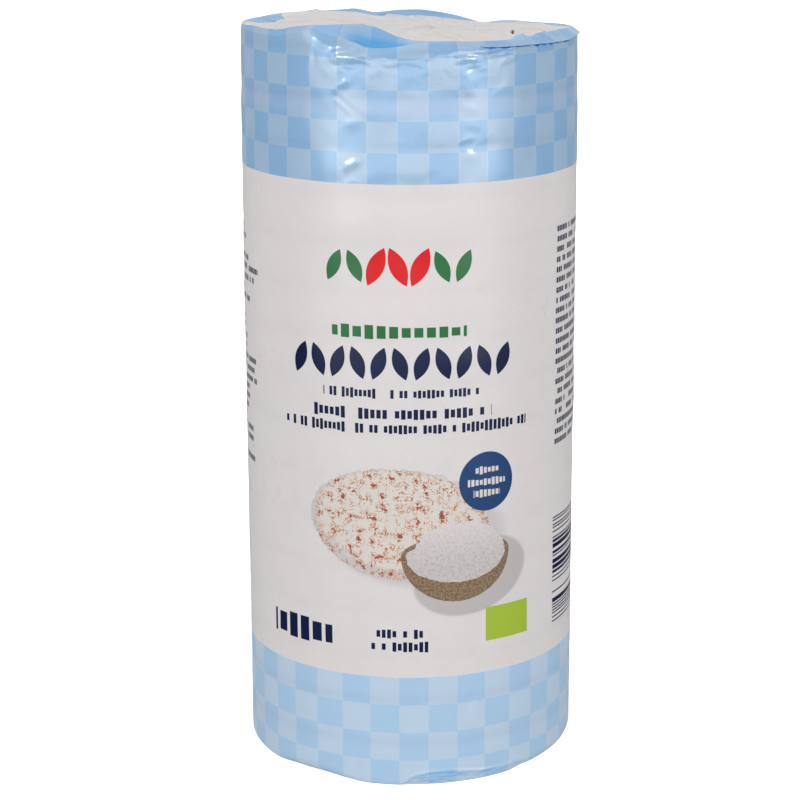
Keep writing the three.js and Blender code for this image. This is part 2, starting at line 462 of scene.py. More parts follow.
CREASES = (
    Crease(-180, 0.5, 0.9, 2.4),
    Crease(-167, -0.1, 0.9, 2.4),
    Crease(-157, 1.0, 0.9, 2.2),
    Crease(-134, 1.2, 0.8, 2.0),
    Crease(-110, 1.2, 0.8, 2.0),
    Crease(-88, 1.6, 0.5, 1.8),
    Crease(-64, 2.2, 0.4, 1.5),
    Crease(-51, 2.0, 0.4, 1.5),
    Crease(-43, 3.2, 0.4, 1.5),
    Crease(-38, 4.1, 0.5, 2.0),
    Crease(-35, 4.9, 0.9, 4.0),
    Crease(-31, 3.8, 1.3, 4.5),
    Crease(-27, 3.25, 1.6, 4.5, 0.0, 0.05),
    Crease(-25.3, 2.95, 1.65, 4.3, 0.0, 0.6),
    Crease(-24, 2.7, 1.7, 4.2, 0.0, 1.0),
    Crease(-21.5, 1.8, 1.9, 3.8, 0.0, 1.0),
    Crease(-18.9, 1.3, 2.0, 3.6, 0.0, 1.0),
    Crease(-15.5, 0.2, 2.4, 3.3, 0.0, 1.0),
    Crease(-11, 0.05, 2.6, 3.3, 0.2, 1.0),
    Crease(-5.5, 0.4, 2.5, 3.5, 0.3, 1.0),
    Crease(-1, 1.0, 2.5, 3.9, 0.3, 1.0),
    Crease(2, 1.15, 2.4, 4.0, 0.2, 0.8),
    Crease(6, 1.4, 2.1, 4.0, 0.2, 0.3),
    Crease(16, 1.25, 1.6, 3.8, 0.3, 0.5),
    Crease(21, 0.7, 1.0, 3.2, 0.6, 0.5),
    Crease(25.5, 0.1, 0.1, 2.4, 1.2, 0.4),
    Crease(30, -0.05, -0.3, 1.9, 1.7, 0.3),
    Crease(36, -0.05, -0.4, 1.8, 1.9, 0.3),
    Crease(45, -0.1, -0.4, 1.8, 1.9, 0.3),
    Crease(51, -0.25, -0.4, 1.8, 1.9, 0.3),
    Crease(57, -0.3, -0.4, 1.8, 1.9, 0.3),
    Crease(66, -0.35, -0.3, 1.8, 1.8, 0.3),
    Crease(74, 0.1, -0.2, 2.2, 2.4, 0.4),
    Crease(82, 0.2, -0.3, 2.2, 2.5, 0.4),
    Crease(92, -0.2, -0.1, 2.0, 2.0, 0.1),
    Crease(105, -0.7, 0.7, 2.0),
    Crease(118, -1.2, 0.8, 2.0),
    Crease(142, -1.8, 0.8, 2.0),
    Crease(150.5, -2.6, 0.9, 2.0),
    Crease(160, -1.2, 0.9, 2.0),
    Crease(171, 0.2, 0.9, 2.3),
)


@dataclass(frozen=True)
class Foot:
    """How large the rounding of the lower edge is at one turn."""

    turn: float
    edge: float


FEET = (
    Foot(-180, 2.0),
    Foot(-120, 2.4),
    Foot(-90, 1.6),
    Foot(-57, 1.6),
    Foot(-45, 3.8),
    Foot(-34, 4.4),
    Foot(-24, 2.6),
    Foot(-16, 1.0),
    Foot(10, 0.8),
    Foot(34, 1.0),
    Foot(45, 3.0),
    Foot(57, 3.4),
    Foot(66, 3.4),
    Foot(74, 3.6),
    Foot(110, 2.6),
    Foot(145, 3.0),
)


@dataclass
class Film:
    """A sheet of film points laid out in rows and columns, on its way to becoming a mesh.

    Attributes:
        points: Places in millimetres, by row and column.
        across: Print coordinate round the pack, by row and column, in millimetres of film.
        along: Print coordinate up the film, by row and column, in millimetres of film.
        loose_and_shade: How far each point hangs free of the white cakes, 0 to 1, together with painted
            shade in hollows and under folds.
        torn_shadow: Where the film is torn open, 0 to 1, which is painted dark as painted shadow inside the
            tear.
    """

    points: np.ndarray
    across: np.ndarray
    along: np.ndarray
    loose_and_shade: np.ndarray
    torn_shadow: np.ndarray

    def mesh(
        self, name: str, closed: bool = False, tip_first: bool = False, tip_last: bool = False
    ) -> bpy.types.Object:
        """Turns the sheet into a mesh object with its print map.

        Args:
            name: The piece's name.
            closed: True joins the last column to the first.
            tip_first: True draws the first row together into one point.
            tip_last: True draws the last row together into one point.

        Returns:
            The new object, linked to the scene.
        """
        rows, columns = self.points.shape[:2]
        flat = self.points.reshape(-1, 3)
        wrap = columns if closed else columns - 1
        faces: list[tuple[int, ...]] = []
        corners: list[tuple[int, int]] = []
        first, last = 0, len(flat) - 1
        for i in range(rows - 1):
            for j in range(wrap):
                k = (j + 1) % columns
                square = [(i, j), (i, j + 1), (i + 1, j + 1), (i + 1, j)]
                here, above = i * columns, (i + 1) * columns
                spots = [here + j, here + k, above + k, above + j]
                if tip_first and i == 0:
                    square, spots = [square[0], *square[2:]], [first, *spots[2:]]
                elif tip_last and i == rows - 2:
                    square, spots = square[:3], [spots[0], spots[1], last]
                faces.append(tuple(spots))
                corners.extend(square)
        used = np.unique(np.concatenate([np.asarray(f) for f in faces]))
        renumber = np.full(len(flat), -1)
        renumber[used] = np.arange(len(used))
        data = bpy.data.meshes.new(name)
        data.from_pydata((flat[used] * MM).tolist(), [], [tuple(renumber[list(f)]) for f in faces])
        where = np.asarray(corners)
        whole = self.across.shape[1]
        column = np.minimum(where[:, 1], whole - 1)
        places = np.stack([self.across[where[:, 0], column], self.along[where[:, 0], column % columns]], 1)
        data.uv_layers.new(name=PRINT_MAP).data.foreach_set("uv", places.ravel())
        for mark, values in ((LOOSE_AND_SHADE, self.loose_and_shade), (TORN_SHADOW, self.torn_shadow)):
            data.attributes.new(mark, "FLOAT", "POINT").data.foreach_set("value", values.ravel()[used])
        data.polygons.foreach_set("use_smooth", [True] * len(faces))
        data.update()
        piece = bpy.data.objects.new(name, data)
        bpy.context.scene.collection.objects.link(piece)
        return piece


@dataclass
class Roll:
    """The stack of cakes as the taut film shows it from outside.

    Attributes:
        bulge: How far the film bulges over a cake.
        shift: How far a cake lies off the axis.
        dent: The depth of the film's uneven dents.
        dent_size: How far apart they are.
        crease: The height of the thin creases that slant across the film.
        crease_width: How far apart they are.
        crease_sharp: How thin they are.
        slant: How many degrees they turn in a millimetre of height.
        narrowing: How much narrower the roll is at its top.
        narrow_top: The heights over which it narrows.
        upper_dents: The heights over which the dents grow deeper.
        lower_calm: The heights over which they fade towards the foot.
        few_creases: The heights over which the first creases set in.
        more_creases: The heights over which the rest do.
        foot_creases: The heights over which the foot's own creases do.
        seed: Picks each cake's bulge and place.
        crowns: Each cake's bulge.
        leans: How far each cake lies off the axis.
        headings: The turn that each cake lies off towards.
    """

    bulge: float = 0.08
    shift: float = 0.08
    dent: float = 0.13
    dent_size: float = 12.0
    crease: float = 0.03
    crease_width: float = 4.2
    crease_sharp: float = 3.2
    slant: float = 0.9
    narrowing: float = 0.28
    narrow_top: Rise = Rise(178.0, 20.0)
    upper_dents: Rise = Rise(120.0, 50.0)
    lower_calm: Rise = Rise(70.0, -40.0)
    few_creases: Rise = Rise(45.0, 40.0)
    more_creases: Rise = Rise(140.0, 40.0)
    foot_creases: Rise = Rise(24.0, -20.0)
    seed: int = 5
    crowns: np.ndarray = field(init=False)
    leans: np.ndarray = field(init=False)
    headings: np.ndarray = field(init=False)

    def __post_init__(self) -> None:
        """Draws each cake's own bulge and its place off the axis."""
        draw = np.random.default_rng(self.seed)
        self.crowns = self.bulge * draw.uniform(0.55, 1.35, CAKES + 1)
        self.leans = self.shift * draw.uniform(-1, 1, CAKES + 1)
        self.headings = draw.uniform(0, 360, CAKES + 1)

    def radius(self, turn: np.ndarray, height: np.ndarray) -> np.ndarray:
        """The film's distance from the axis.

        Args:
            turn: Angles round the pack.
            height: Heights, in the shape of turn.

        Returns:
            The radius at each of them.
        """
        level = np.clip(height / CAKE_PITCH, 0, CAKES - 0.001)
        cake = level.astype(int)
        within = level - cake
        crown = self.crowns[cake] * (np.sin(np.pi * within) ** 0.8 - 0.8)
        here = self.leans[cake] * np.cos(np.radians(turn - self.headings[cake]))
        there = self.leans[cake + 1] * np.cos(np.radians(turn - self.headings[cake + 1]))
        lean = mix(here, there, smooth((within - 0.5) * 2))
        taut = RADIUS + crown + lean - self.narrowing * self.narrow_top.at(height)
        return taut + self.dents(turn, height) + self.creases(turn, height)

    def dents(self, turn: np.ndarray, height: np.ndarray) -> np.ndarray:
        """Shallow uneven dents in the film, a little deeper near the top.

        Args:
            turn: Angles round the pack.
            height: Heights, in the shape of turn.

        Returns:
            How far each point stands out of the smooth wall.
        """
        spots = around(turn, RADIUS, height)
        upper = 1 + 0.6 * self.upper_dents.at(height)
        lower = 1 - 0.5 * self.lower_calm.at(height)
        uneven = ripple(spots, self.dent_size) + 0.5 * ripple(spots, self.dent_size / 2.3, 7.0)
        return self.dent * upper * lower * (uneven - 0.3)

    def creases(self, turn: np.ndarray, height: np.ndarray) -> np.ndarray:
        """Thin creases that slant across the film, in patches where it is slack.

        Args:
            turn: Angles round the pack.
            height: Heights, in the shape of turn.

        Returns:
            How far each point stands out of the smooth wall.
        """
        rise = 0.07 * self.few_creases.at(height) + 0.93 * self.more_creases.at(height)
        fall = 0.5 * self.foot_creases.at(height)
        folds = np.zeros_like(height)
        for way, seed in ((self.slant, 3.0), (-self.slant, 19.0)):
            wound = around(turn + way * height, RADIUS, height * 0.45)
            ridge = ridges(wound, self.crease_width, seed, self.crease_sharp)
            patch = smooth((ripple(around(turn, RADIUS, height), 16.0, seed + 5.0) - 0.1) / 0.2)
            folds += ridge * patch
        return self.crease * (rise + fall) * (folds - 0.1)


@dataclass
class Wrap:
    """The film over the whole roll, as two pieces: the printed wrap, and the white end inside its collar.

    The wrap runs in rows from the middle of the base over the foot, wall, shoulder and collar to the crest,
    and the end from the crest to the point where it is gathered.

    Attributes:
        roll: The roll of cakes inside it.
        front: The turn to each side over which the columns stand close together.
        front_columns: The columns there.
        back_columns: The columns from there to the back, on each side.
        base_rows: The rows under the base.
        foot_rows: The rows round the foot's edge.
        low_rows: The rows of the lower check.
        white_rows: The rows of the white band.
        high_rows: The rows of the upper check.
        row_eases: How much closer each of these three sets stands at its lower end, 1 for evenly.
        shoulder_rows: The rows from the wall to the crease.
        collar_rows: The rows from the crease to the crest.
        inside_rows: The rows inside the collar.
        gather: The place off the axis where the end is gathered.
        dish: How far above the rim's height the end lies.
        dish_reach: How far in from the crest the end is level.
        pleats: The number of pleats at each end.
        pleat_depth: A pleat's height.
        base_recess: How far the base's middle is above its edge.
        foot_tuck: How far the film is tucked in under the fold at the foot.
        foot_lip: How far that fold stands out.
        foot_arc: How much longer the foot's round is than its radius, as a share of it.
        slack_left: The turns over which slack film sets in under the collar's front.
        slack_right: The turns over which it ends.
        slack_height: The heights over which it sets in.
        hollow_left: The turns over which the deeper blue of the hollow at the collar's front, painted
            shade, grows full.
        hollow_ridge: The turns at the foot and top of the ridge at the hollow's left.
        blue_lens: The turn of a small lens of check at the collar's back.
        blue_lens_reach: How far it reaches to each side.
        fold_lift: How strongly the end's folds are drawn.
        tear_drop: How far its tears are sunk.
        seed: Picks the pleats.
    """

    roll: Roll
    front: float = 105.0
    front_columns: int = 382
    back_columns: int = 49
    base_rows: int = 12
    foot_rows: int = 6
    low_rows: int = 34
    white_rows: int = 44
    high_rows: int = 62
    row_eases: tuple[float, float, float] = (1.8, 1.0, 1.0)
    shoulder_rows: int = 20
    collar_rows: int = 24
    inside_rows: int = 100
    gather: tuple[float, float] = (7.0, 3.0)
    dish: float = 0.9
    dish_reach: float = 7.0
    pleats: int = 17
    pleat_depth: float = 0.55
    base_recess: float = 0.7
    foot_tuck: float = 0.45
    foot_lip: float = 0.2
    foot_arc: float = 0.57
    slack_left: Rise = Rise(-33.0, 7.0)
    slack_right: Rise = Rise(40.0, -7.0)
    slack_height: Rise = Rise(198.0, 6.0)
    hollow_left: Rise = Rise(-26.0, 8.0)
    hollow_ridge: tuple[float, float] = (-24.2, -26.4)
    blue_lens: float = 139.0
    blue_lens_reach: float = 15.0
    fold_lift: float = 1.6
    tear_drop: float = 1.2
    seed: int = 11

    def build(self) -> list[bpy.types.Object]:
        """Builds the wrap, and the white film that is gathered over its top end.

        Returns:
            Their mesh objects, the wrap first.
        """
        turn = self.turns()
        parts = [self.base(turn), self.wall(turn), self.shoulder(turn), self.collar(turn)]
        points, along, loose_and_shade = (np.concatenate([p[k] for p in parts]) for k in range(3))
        wrap = Film(points, self.across(turn, points), along, loose_and_shade, 0 * loose_and_shade)
        points, along, loose_and_shade = self.inside(turn)
        torn_shadow = np.max([tear.stand(points[..., 0], points[..., 1]) for tear in TEARS], 0)
        end = Film(points, self.across(turn, points), along, loose_and_shade, torn_shadow)
        return [
            wrap.mesh("film_wrap", closed=True, tip_first=True),
            end.mesh("end_film", closed=True, tip_last=True),
        ]

    @staticmethod
    def across(turn: np.ndarray, points: np.ndarray) -> np.ndarray:
        """The print coordinate round the pack, with one column more than the points to close the round."""
        arc = np.radians(np.append(turn, 180.0)) * RADIUS
        return np.repeat(arc[None, :], len(points), axis=0)

    @staticmethod
    def foot_line(turn: np.ndarray) -> np.ndarray:
        """The height of the fold at the front of the foot, or less than nothing where there is none."""
        return np.interp(turn, *FOOT_FOLD)

    def undercut(self, turn: np.ndarray, height: np.ndarray) -> np.ndarray:
        """How far the film is tucked in under the fold at the foot."""
        line = self.foot_line(turn)
        return self.foot_tuck * smooth((line - height) / 0.8 + 0.3) * smooth(line / 2)

    def wrinkles(self, turn: np.ndarray, height: np.ndarray) -> np.ndarray:
        """The single folds on the wall, and the level wrinkles of the slack film under the collar.

        Args:
            turn: Angles round the pack.
            height: Heights, in the shape of turn.

        Returns:
            How far each point stands out.
        """
        arc = np.radians(turn) * RADIUS
        total = sum(fold.stand(arc, height) for fold in WALL_FOLDS)
        front = self.slack_left.at(turn) * self.slack_right.at(turn)
        slack = self.slack_height.at(height) * (0.25 + 0.75 * front)
        level = around(turn, RADIUS / 5.0, height / 1.7)
        return total + slack * (0.15 * ridges(level, 1.0, 31.0) + 0.1 * ripple(level, 1.0, 8.0))

    def turns(self) -> np.ndarray:
        """Where the columns stand: closer together over the front, which shows the finest folds."""
        return np.concatenate([
            np.linspace(-180, -self.front, self.back_columns, endpoint=False),
            np.linspace(-self.front, self.front, self.front_columns, endpoint=False),
            np.linspace(self.front, 180, self.back_columns, endpoint=False),
        ])

    def edge(self, turn: np.ndarray) -> np.ndarray:
        """The rounding of the lower edge at each turn."""
        return Ring([f.turn for f in FEET], [f.edge for f in FEET]).at(turn)

    def rings(self, turn: np.ndarray) -> dict[str, np.ndarray]:
        """The collar's lines at each turn.

        Args:
            turn: Angles round the pack.

        Returns:
            Radii and heights of the wall's top, the crease and the crest, and the other station values.
        """
        crest = {k: Ring([c.turn for c in CRESTS], [getattr(c, k) for c in CRESTS]).at(turn)
                 for k in ("lift", "inset", "over")}
        folded = ("lift", "inset", "drop", "tuck", "slack")
        crease = {k: Ring([c.turn for c in CREASES], [getattr(c, k) for c in CREASES]).at(turn)
                  for k in folded}
        wall_top = RIM + crease["lift"] - crease["drop"]
        return {
            "wall_top": wall_top,
            "wall_radius": self.roll.radius(turn, wall_top),
            "crease_radius": RADIUS - crease["inset"],
            "crease_height": RIM + crease["lift"],
            "crest_radius": RADIUS - crest["inset"],
            "crest_height": RIM + crest["lift"],
            "tuck": crease["tuck"],
            "slack": crease["slack"],
            "over": crest["over"],
        }

    def pleat_height(self, turn: np.ndarray, seed: int, count: int) -> np.ndarray:
        """The step of film that each pleat of a gathered end makes at a turn.

        Args:
            turn: Angles round the pack.
            seed: Picks one set of uneven pleats.
            count: How many pleats there are.

        Returns:
            A saw-toothed height from 0 to 1.
        """
        draw = np.random.default_rng(seed)
        widths = draw.uniform(0.5, 1.5, count)
        edges = -180 + 360 * np.concatenate([[0], np.cumsum(widths)]) / widths.sum()
        tall = draw.uniform(0.5, 1.0, count)
        i = np.clip(np.searchsorted(edges, turn, side="right") - 1, 0, count - 1)
        share = (turn - edges[i]) / (edges[i + 1] - edges[i])
        return tall[i] * (share - smooth((share - 0.9) / 0.1))

    def base(self, turn: np.ndarray) -> tuple[np.ndarray, np.ndarray, np.ndarray]:
        """The film gathered under the base, and its rounded edge.

        Args:
            turn: Angles round the pack.

        Returns:
            Points, print coordinate, and looseness with painted shade, by row and column.
        """
        edge = self.edge(turn)
        rim = self.roll.radius(turn, edge) - edge - self.undercut(turn, 0 * turn)
        share = np.linspace(0, 1, self.base_rows, endpoint=False)[:, None] ** 0.9
        radius = rim * share
        inward = smooth((rim - radius) / 9.0)
        pleat = self.pleat_height(turn, self.seed + 1, self.pleats)
        height = inward * (self.base_recess - self.pleat_depth * 0.8 * pleat * smooth(share * 6))
        flat = around(np.broadcast_to(turn, radius.shape), radius, height)
        bend = np.linspace(0, np.pi / 2, self.foot_rows, endpoint=False)[:, None]
        turned = np.broadcast_to(turn, (self.foot_rows, len(turn)))
        round_up = around(turned, rim + edge * np.sin(bend), edge * (1 - np.cos(bend)))
        along_flat = -PRINT_MIDDLE - (rim - radius) - edge * self.foot_arc
        along_round = -PRINT_MIDDLE + edge * (bend - self.foot_arc)
        along = np.concatenate([along_flat, along_round])
        return np.concatenate([flat, round_up]), along, np.zeros_like(along)

    def wall(self, turn: np.ndarray) -> tuple[np.ndarray, np.ndarray, np.ndarray]:
        """The taut wall from the lower edge to the shoulder.

        Args:
            turn: Angles round the pack.

        Returns:
            Points, print coordinate, and looseness with painted shade, by row and column.
        """
        low, high = self.edge(turn), self.rings(turn)["wall_top"]
        middle = 0 * low + PRINT_MIDDLE
        ends = [low, middle - WHITE_HALF, middle + WHITE_HALF, high]
        counts = (self.low_rows, self.white_rows, self.high_rows)
        height = np.concatenate([
            mix(a, b, np.linspace(0, 1, count, endpoint=False)[:, None] ** ease)
            for a, b, count, ease in zip(ends, ends[1:], counts, self.row_eases)
        ])
        turned = np.broadcast_to(turn, height.shape)
        line = self.foot_line(turned)
        lip = self.foot_lip * bell(height - line - 0.35, 0.5) * smooth(line / 2)
        radius = self.roll.radius(turned, height) + self.wrinkles(turned, height)
        points = around(turned, radius + lip - self.undercut(turned, height), height)
        # Deeper blue, partly painted shade, on the film tucked in under the foot's fold, in thin streaks
        # there, and on a crumpled patch high on the wall
        tucked = smooth((line + 1.4 - height) / 1.4) * smooth(line / 1.5)
        streaks = bell(ripple(around(turned, RADIUS / 7.0, height / 0.9), 1.0, 40.0), 0.14)
        crumpled = 0.85 * CRUMPLED.at(turned, height)
        return points, height - PRINT_MIDDLE, np.maximum(tucked * (0.08 + 0.45 * streaks), crumpled)

    def shoulder(self, turn: np.ndarray) -> tuple[np.ndarray, np.ndarray, np.ndarray]:
        """The film from the wall's top to the crease, tucked under it where it is folded back.

        Args:
            turn: Angles round the pack.

        Returns:
            Points, print coordinate, and looseness with painted shade, by row and column.
        """
        r = self.rings(turn)
        tucked = smooth(r["tuck"] / 1.5)
        drop = r["crease_height"] - r["wall_top"]
        lip = ripple(around(turn, RADIUS, 0 * turn), 2.2, 4.0)
        inset = r["wall_radius"] - r["crease_radius"]
        radii = [
            r["wall_radius"],
            r["wall_radius"] - mix(0.22 * inset, 0.1, tucked),
            r["wall_radius"] - mix(0.62 * inset, 0.0, tucked) - r["tuck"] * 0.55,
            r["crease_radius"],
        ]
        heights = [
            r["wall_top"],
            r["crease_height"] - mix(0.58 * drop, 0.4 - 0.55 * lip, tucked),
            r["crease_height"] - mix(0.25 * drop, 0.2, tucked),
            r["crease_height"],
        ]
        t = np.linspace(0, 3, self.shoulder_rows, endpoint=False)[:, None]
        radius, height = self.through(radii, t), self.through(heights, t)
        crumple = self.crumple(turn, height, radius) * r["slack"] * np.sin(np.pi * t / 3)
        crumple += self.wrinkles(np.broadcast_to(turn, height.shape), height) * (1 - t / 3)
        points = around(np.broadcast_to(turn, height.shape), radius + crumple, height)
        along = mix(r["wall_top"], self.film_height(turn), t / 3) - PRINT_MIDDLE
        # Painted shade: deeper blue on the film tucked in under the crease
        loose_and_shade = mix(0, 0.7, tucked) * smooth((t - 0.7) / 0.5) * smooth((3.2 - t) / 0.8)
        return points, along, loose_and_shade

    @staticmethod
    def through(values: Sequence[np.ndarray], t: np.ndarray) -> np.ndarray:
        """A smooth line through evenly spaced values.

        Args:
            values: The value at each whole number.
            t: Where to read the line.

        Returns:
            The line's values at t.
        """
        stack = np.stack([2 * values[0] - values[1], *values, 2 * values[-1] - values[-2]])
        i = np.clip(t.astype(int), 0, len(values) - 2)
        u = t - i
        i = np.broadcast_to(i, (len(t), stack.shape[1]))
        a, b, c, d = (np.take_along_axis(stack, i + k, 0) for k in range(4))
        square = 2 * a - 5 * b + 4 * c - d
        cube = 3 * b - a - 3 * c + d
        return 0.5 * (2 * b + (c - a) * u + square * u**2 + cube * u**3)

    @staticmethod
    def crumple(turn: np.ndarray, height: np.ndarray, radius: np.ndarray) -> np.ndarray:
        """Small sharp crumples of slack film.

        Args:
            turn: Angles round the pack.
            height: Heights, by row and column.
            radius: Radii, by row and column.

        Returns:
            How far each point stands out.
        """
        return 0.9 * (0.25 - np.abs(ripple(around(turn, radius, height * 1.3), 6.0)))

    def film_height(self, turn: np.ndarray) -> np.ndarray:
        """The print coordinate of the crease, as a height: the film's length is kept round the fold."""
        r = self.rings(turn)
        lean = np.hypot(r["crest_radius"] - r["crease_radius"], r["crest_height"] - r["crease_height"])
        natural = PRINT_MIDDLE + BLUE_END - lean - np.maximum(r["over"], 0)
        return np.clip(natural, r["wall_top"] + 1.0, r["crease_height"] + 2.0)

    def collar(self, turn: np.ndarray) -> tuple[np.ndarray, np.ndarray, np.ndarray]:
        """The printed film from the crease up to the crest.

        Args:
            turn: Angles round the pack.

        Returns:
            Points, print coordinate, and looseness with painted shade, by row and column.
        """
        r = self.rings(turn)
        t = np.linspace(0, 1, self.collar_rows)[:, None]
        hollow = smooth((r["crest_height"] - r["crease_height"] - 0.3) / 1.8) * smooth(r["slack"])
        radius = mix(r["crease_radius"], r["crest_radius"], t ** (1 - 0.45 * hollow))
        height = mix(r["crease_height"], r["crest_height"], t ** (1 + 0.5 * hollow))
        crumple = self.crumple(turn, height, radius) * 0.5 * np.sin(np.pi * t) * (0.3 + r["slack"])
        ridge = 0.5 * bell(turn - mix(*self.hollow_ridge, t), 0.8) * np.sin(np.pi * t)
        glints = 0.3 * sum(glint.at(turn, t) for glint in GLINTS)
        points = around(np.broadcast_to(turn, height.shape), radius + ridge + glints, height + crumple)
        crest_film = BLUE_END - r["over"]
        along = mix(self.film_height(turn) - PRINT_MIDDLE, crest_film, t)
        # Painted shade in the collar's hollow: its blue is deepest low down near the crease and away from
        # the hollow's left edge; the rest of the collar gets a little deeper blue, more where it is tucked
        deep_and_shaded = hollow * mix(0.25, 1.0, self.hollow_left.at(turn)) * (0.25 + 0.75 * smooth((0.75 - t) / 0.5))
        folded = 0.12 + 0.15 * smooth(r["tuck"])
        loose_and_shade = np.maximum(deep_and_shaded, folded) * smooth(t / 0.1) * smooth((1.15 - t) / 0.4)
        return points, along, loose_and_shade

    def inside(self, turn: np.ndarray) -> tuple[np.ndarray, np.ndarray, np.ndarray]:
        """The white film inside the collar, gathered in pleats towards one point.

        Args:
            turn: Angles round the pack.

        Returns:
            Points, print coordinate, and looseness with painted shade, by row and column.
        """
        r = self.rings(turn)
        share = np.linspace(0, 1, self.inside_rows)[:, None] ** 1.35
        angle = np.radians(turn)
        crest_x, crest_y = r["crest_radius"] * np.sin(angle), -r["crest_radius"] * np.cos(angle)
        reach = np.hypot(crest_x - self.gather[0], crest_y - self.gather[1])
        x = mix(crest_x, self.gather[0], share)
        y = mix(crest_y, self.gather[1], share)
        run = reach * share
        pleat = self.pleat_height(turn, self.seed, self.pleats)
        grown = smooth(run / 9) * (1 - 0.45 * smooth((share - 0.55) / 0.45))
        floor = RIM + self.dish + sum(mound.stand(x, y) for mound in MOUNDS)
        floor += self.pleat_depth * pleat * grown
        floor += self.fold_lift * sum(fold.stand(x, y) for fold in END_FOLDS) * smooth(run / 4)
        floor -= self.tear_drop * np.max([tear.stand(x, y) for tear in TEARS], 0)
        pucker = 0.5 * bell(run - reach, 5.0)
        uneven = ripple(np.stack([x, y, 0 * x], -1), 11.0)
        creased = ridges(np.stack([x * 0.6, y * 1.3, 0 * x], -1), 9.0, 3.0)
        floor = floor - pucker + (0.35 * uneven + 0.4 * creased) * smooth(run / 8)
        height = mix(r["crest_height"], floor, smooth(run / self.dish_reach))
        points = np.stack([x, y, height], -1)
        beside = (turn - self.blue_lens) / self.blue_lens_reach
        lens = smooth(1.5 * (1 - beside**2)) * bell(run - 2.6, 1.5)
        along = mix(BLUE_END - r["over"] + run, BLUE_END - 3.0, smooth(lens * 1.6))
        loose_and_shade = 0.6 * smooth((r["over"] - run + 1) / 2) * smooth(run / 0.5)
        return points, along, loose_and_shade


@dataclass
class BackSeam:
    """The seam down the back: the film's two edges, sealed together in fine ribs and folded flat.

    Attributes:
        roll: The roll that it lies on.
        width: Its width.
        proud: How far it stands out of the wall.
        sunk: How far it reaches into the wall.
        low: The height of its lower end.
        high: The height of its upper end.
        rib_pitch: The distance from one rib to the next.
        rib_depth: A rib's height.
        rows: Its rows up the wall.
        columns: Its columns across.
    """

    roll: Roll
    width: float = 12.0
    proud: float = 0.55
    sunk: float = 0.6
    low: float = 6.0
    high: float = 202.0
    rib_pitch: float = 1.6
    rib_depth: float = 0.08
    rows: int = 420
    columns: int = 15

    def build(self) -> bpy.types.Object:
        """Builds the folded seam as a thin closed strip that follows the wall.

        Returns:
            The seam's mesh object.
        """
        height = np.linspace(self.low, self.high, self.rows)[:, None]
        side = np.linspace(-1, 1, self.columns)
        waver = ripple(np.concatenate([0 * height, 0 * height + 3, height], -1), 24.0)[:, None]
        reach = self.width / 2 + 0.5 * waver * (side < 0)
        turn = 180 + np.degrees(side * reach / RADIUS) + 0 * height
        wall = self.roll.radius(turn, height + 0 * turn)
        rib = self.rib_depth * np.sin(math.tau * height / self.rib_pitch) * (np.abs(side) < 0.86)
        lip = 0.25 * smooth((-side - 0.75) / 0.25) * (1 + waver)
        outer = wall + self.proud * np.sqrt(np.clip(1 - np.abs(side) ** 9, 0.04, 1)) + rib + lip
        inner = wall - self.sunk
        outside, inside = around(turn, outer, height), around(turn, inner, height)[:, ::-1]
        points = np.concatenate([outside, inside, outside[:, :1]], 1)
        flat = np.concatenate([inside[:, ::-1], inside, inside[:, -1:]], 1)
        points = np.concatenate([flat[:1], points, flat[-1:]])
        arc = np.radians(turn) * RADIUS
        across = np.concatenate([arc, arc[:, ::-1], arc[:, :1]], 1)
        across = np.concatenate([across[:1], across, across[-1:]])
        along = points[..., 2] - PRINT_MIDDLE
        none = np.zeros(along.shape)
        return Film(points[::-1], across[::-1], along[::-1], none, none).mesh("back_seam")


@dataclass(frozen=True)
class Scalar:
    """A number that a shader works out at each point, with the usual arithmetic."""

    desk: "Desk"
    socket: bpy.types.NodeSocket

    def __add__(self, other: "Term") -> "Scalar":
        """This plus another."""
        return self.desk.math("ADD", self, other)

    def __sub__(self, other: "Term") -> "Scalar":
        """This less another."""
        return self.desk.math("SUBTRACT", self, other)

    def __rsub__(self, other: "Term") -> "Scalar":
        """Another less this."""
        return self.desk.math("SUBTRACT", other, self)

    def __mul__(self, other: "Term") -> "Scalar":
        """This times another."""
        return self.desk.math("MULTIPLY", self, other)

    def __truediv__(self, other: "Term") -> "Scalar":
        """This over another."""
        return self.desk.math("DIVIDE", self, other)

    def __lt__(self, other: "Term") -> "Scalar":
        """1 where this is less than another, and 0 elsewhere."""
        return self.desk.math("LESS_THAN", self, other)

    def __gt__(self, other: "Term") -> "Scalar":
        """1 where this is more than another, and 0 elsewhere."""
        return self.desk.math("GREATER_THAN", self, other)

    def size(self) -> "Scalar":
        """This without its sign."""
        return self.desk.math("ABSOLUTE", self)

    def floor(self) -> "Scalar":
        """The whole number below this."""
        return self.desk.math("FLOOR", self)

    def part(self) -> "Scalar":
        """What this holds beyond the whole number below it."""
        return self.desk.math("FRACT", self)

    def most(self, other: "Term") -> "Scalar":
        """The larger of this and another."""
        return self.desk.math("MAXIMUM", self, other)

    def least(self, other: "Term") -> "Scalar":
        """The smaller of this and another."""
        return self.desk.math("MINIMUM", self, other)

    def ramp(self, low: float, high: float) -> "Scalar":
        """An ease from 0 at low to 1 at high."""
        node = self.desk.node("ShaderNodeMapRange", interpolation_type="SMOOTHSTEP")
        self.desk.put(node.inputs["Value"], self)
        node.inputs["From Min"].default_value = low
        node.inputs["From Max"].default_value = high
        return Scalar(self.desk, node.outputs["Result"])


Term = Scalar | float


